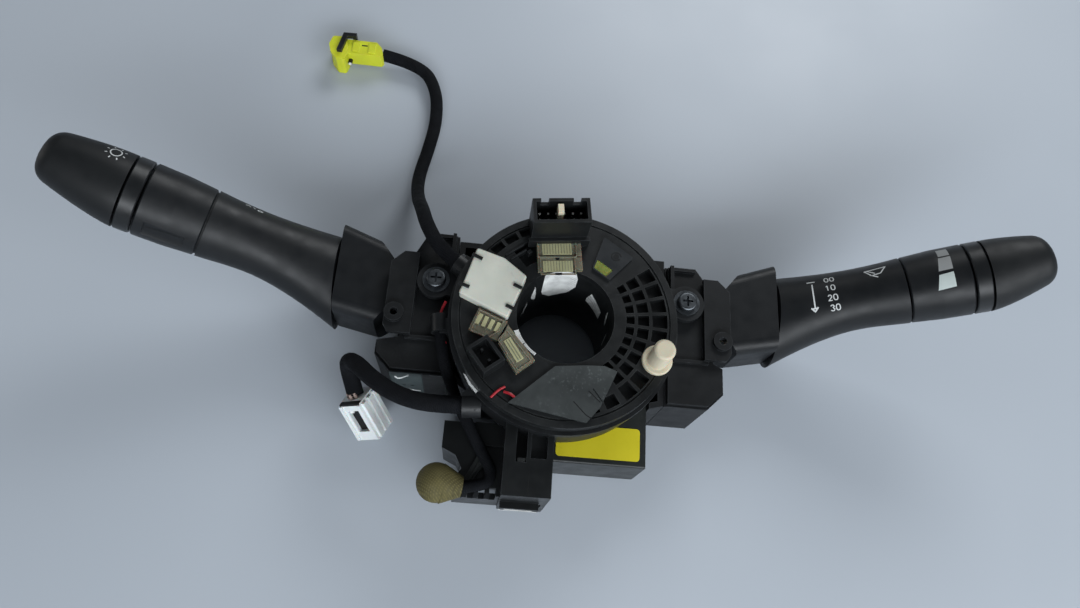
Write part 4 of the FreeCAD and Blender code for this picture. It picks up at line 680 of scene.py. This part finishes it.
DIGITS = {
    "0": [[(0, 0.25), (0, 0.75), (0.25, 1), (0.75, 1), (1, 0.75), (1, 0.25), (0.75, 0), (0.25, 0),
           (0, 0.25)]],
    "1": [[(0.2, 0.75), (0.55, 1), (0.55, 0)]],
    "2": [[(0.05, 0.78), (0.3, 1), (0.75, 1), (0.95, 0.75), (0.9, 0.55), (0, 0), (1, 0)]],
    "3": [[(0.05, 0.85), (0.35, 1), (0.75, 1), (0.95, 0.77), (0.6, 0.53), (1, 0.27), (0.75, 0), (0.3, 0),
           (0, 0.15)]],
}


DIGIT_HIGH, DIGIT_WIDE, DIGIT_GAP = 2.4, 1.5, 0.7


def print_number(form, node, side, text, s, angle):
    """Numerals centred at a distance and an angle, read along the lever."""
    total = len(text) * DIGIT_WIDE + (len(text) - 1) * DIGIT_GAP
    for i, digit in enumerate(text):
        left = s - total / 2 + i * (DIGIT_WIDE + DIGIT_GAP)
        print_paths(form, node, side, [[(left + u * DIGIT_WIDE,
                                         angle - (v - 0.5) * DIGIT_HIGH / PER_DEGREE) for u, v in path]
                                       for path in DIGITS[digit]], 0.42)


def dress_levers():
    form = bmesh.new()
    print_paths(form, "right_stalk", 1, [[(16.6, -33), (19.8, -33)], [(18.5, -27), (17.7, 22)]], 0.55)
    print_paths(form, "right_stalk", 1, [[(16.2, 20), (17.5, 27), (19.0, 20)],
                                         [(16.6, 21.5), (18.6, 21.5)]], 0.6)
    for text, s, angle in (("00", 25.5, -33), ("10", 25.2, -13), ("20", 25.4, 7), ("30", 25.6, 26)):
        print_number(form, "right_stalk", 1, text, s, angle)
    print_paths(form, "right_stalk", 1, [[(39.6, -36), (48.0, -38), (45.6, -24), (42.0, -22), (39.6, -36)],
                                         [(40.6, -36), (43.4, -26)], [(41.4, -24), (44.2, -16)]], 0.5)
    piece("right_prints", form, "right_lever", "print")
    # The adjuster ring's bars are print. The two rear-facing bars are grey with painted shade, and the
    # near-facing bar is pale with painted light.
    form = bmesh.new()
    print_patch(form, "right_adjuster_ring", 1, [(67.9, -50), (71.9, -50), (71.9, -30), (67.7, -30)])
    piece("ring_bar_dark_painted_shade", form, "right_adjuster", "print_grey_painted_shade")
    form = bmesh.new()
    print_patch(form, "right_adjuster_ring", 1, [(67.4, -26.5), (71.9, -27), (71.4, -3), (66.1, -2)])
    piece("ring_bar_mid_painted_shade", form, "right_adjuster", "print_grey_painted_shade")
    form = bmesh.new()
    print_patch(form, "right_adjuster_ring", 1, [(65.9, 4), (71.3, 2), (71.2, 26), (64.5, 28)])
    piece("ring_bar_pale_painted_light", form, "right_adjuster", "print_pale_painted_light")
    form = bmesh.new()
    circle = [(91.6 + 1.9 * math.cos(math.tau * k / 20), -38 + 9.5 * math.sin(math.tau * k / 20))
              for k in range(21)]
    rays = []
    for k in range(8):
        c, t = math.cos(math.tau * (k + 0.5) / 8), math.sin(math.tau * (k + 0.5) / 8)
        rays.append([(91.6 + 2.9 * c, -38 + 14 * t), (91.6 + 3.7 * c, -38 + 18 * t)])
    print_paths(form, "left_end_knob", -1, [circle] + rays, 0.42)
    piece("lamp_print", form, "left_knob", "print")
    form = bmesh.new()
    print_paths(form, "left_stalk", -1, [[(43.6, -48), (42.6, -53), (41.6, -48)],
                                         [(40.6, -52), (39.8, -48)],
                                         [(38.8, -48), (37.4, -50), (36.6, -46), (38.4, -45),
                                          (38.8, -48)]], 0.4)
    piece("left_print", form, "left_lever", "print")
    form = bmesh.new()
    print_paths(form, "left_fog_ring", -1, [[(73.0, 67), (66.0, 62.5), (57.5, 58)]], 0.8, lift=0.08)
    piece("ring_scoop_line", form, "left_fog", "lever_gap")
    form = bmesh.new()
    seam_core(form, "left_fog_ring", -1)
    piece("left_seam_core", form, "left_lever", "lever_gap")


# The white plug: where its lead enters, how far it dips and turns, and its roll
PLUG_ENTRY = Vector((-79.0, -27.4, 18.3))
PLUG_DIP, PLUG_TURN, PLUG_ROLL = (math.radians(angle) for angle in (43.0, 37.2, -47.6))
PLUG_LEAN = Euler((PLUG_DIP, 0, PLUG_TURN), "XYZ").to_matrix() @ Matrix.Rotation(PLUG_ROLL, 3, "Y")


def on_plug(x, y, z):
    return PLUG_ENTRY + PLUG_LEAN @ Vector((x, y, z))


def block(form, x0, x1, y0, y1, z0, z1):
    """Block in the white plug's own frame."""
    start = len(form.verts)
    prism(form, rect(x0, x1, y0, y1), z0, z1)
    form.verts.ensure_lookup_table()
    for vert in form.verts[start:]:
        vert.co = on_plug(*vert.co)


def dress_plugs():
    form = bmesh.new()
    # Black block inside the white plug's window: painted shade, standing in for the window's shadowed
    # inside.
    block(form, -2.5, 2.5, -14.2, -3.7, -1.9, 4.0)
    block(form, -5.0, 5.0, -0.8, 0.12, 3.6, 5.7)
    prism(form, rect(-103.6, -100.8, 151.2, 151.9), 9.98, 10.06)
    tube(form, [(-108.9, 146.4, 5.0), (-108.9, 143.9, 5.0)], 1.0, sides=14)
    piece("plug_gaps_and_painted_shade", form, "base", "black_gap")
    form = bmesh.new()
    tube(form, [(-96.2, 152.2, 6.6), (-93.2, 151.6, 6.2)], 1.3)
    tube(form, [(-108.9, 144.0, 5.0), (-108.9, 143.5, 5.0)], 0.8, sides=14)
    block(form, -2.5, -0.9, -5.2, -3.7, 3.8, 4.7)
    piece("plug_white_bits", form, "base", "felt")
    form = bmesh.new()
    for x, z in ((-2.6, 1.4), (-0.6, 2.4), (1.4, 1.6), (0.4, -1.2)):
        tube(form, [tuple(on_plug(x, -1.0, z)), tuple(on_plug(x * 0.8, 2.4, z * 0.9))], 0.75)
    piece("plug_wires", form, "base", "beige_wire")


dress_rotor()
dress_base()
dress_levers()
dress_plugs()


# The floor and the light
def add_floor():
    mesh = bpy.data.meshes.new("floor")
    form = bmesh.new()
    bmesh.ops.create_grid(form, x_segments=1, y_segments=1, size=3.0)
    form.to_mesh(mesh)
    form.free()
    floor = bpy.data.objects.new("floor", mesh)
    floor.location.z = -0.0003
    scene.collection.objects.link(floor)
    s = Shader("floor_pale")
    tone = s.mix(s.span(s.noise(0.25, 2), 0.3, 0.7, 0, 1), (0.42, 0.46, 0.51), (0.46, 0.50, 0.55))
    s.join(tone, s.surface.inputs["Base Color"])
    s.join(s.span(s.noise(0.05, 3), 0.3, 0.7, 0.40, 0.48), s.surface.inputs["Roughness"])
    s.bumps((s.noise(0.0012, 2), 0.00001))
    mesh.materials.append(s.material)


def add_light(name, place, aim, power, size, colour=(1, 1, 1)):
    data = bpy.data.lights.new(name, "AREA")
    data.shape = "RECTANGLE"
    data.size, data.size_y = size
    data.energy = power
    data.color = colour
    lamp = bpy.data.objects.new(name, data)
    lamp.location = place
    lamp.rotation_euler = (Vector(aim) - Vector(place)).to_track_quat("-Z", "Y").to_euler()
    scene.collection.objects.link(lamp)


def add_world():
    world = bpy.data.worlds.new("world")
    scene.world = world
    world.use_nodes = True
    back = world.node_tree.nodes["Background"]
    back.inputs["Color"].default_value = (0.86, 0.93, 1.0, 1)
    back.inputs["Strength"].default_value = 0.13


add_floor()
add_world()
add_light("window", (0.45, 1.20, 0.85), (0, 0, 0), 9.5, (0.8, 0.5), (0.95, 0.98, 1.0))
add_light("near_soft", (0.40, -1.45, 0.95), (0.05, 0, 0.02), 38.0, (2.4, 0.6), (0.90, 0.95, 1.0))
add_light("left_soft", (-1.2, 0.3, 0.35), (0, 0, 0.02), 1.2, (0.5, 0.5), (1.0, 0.98, 0.95))

add_light("right_soft", (1.2, -0.5, 0.9), (0.30, 0, 0), 6.0, (0.8, 0.8), (0.95, 0.97, 1.0))

scene.view_settings.view_transform = "Standard"
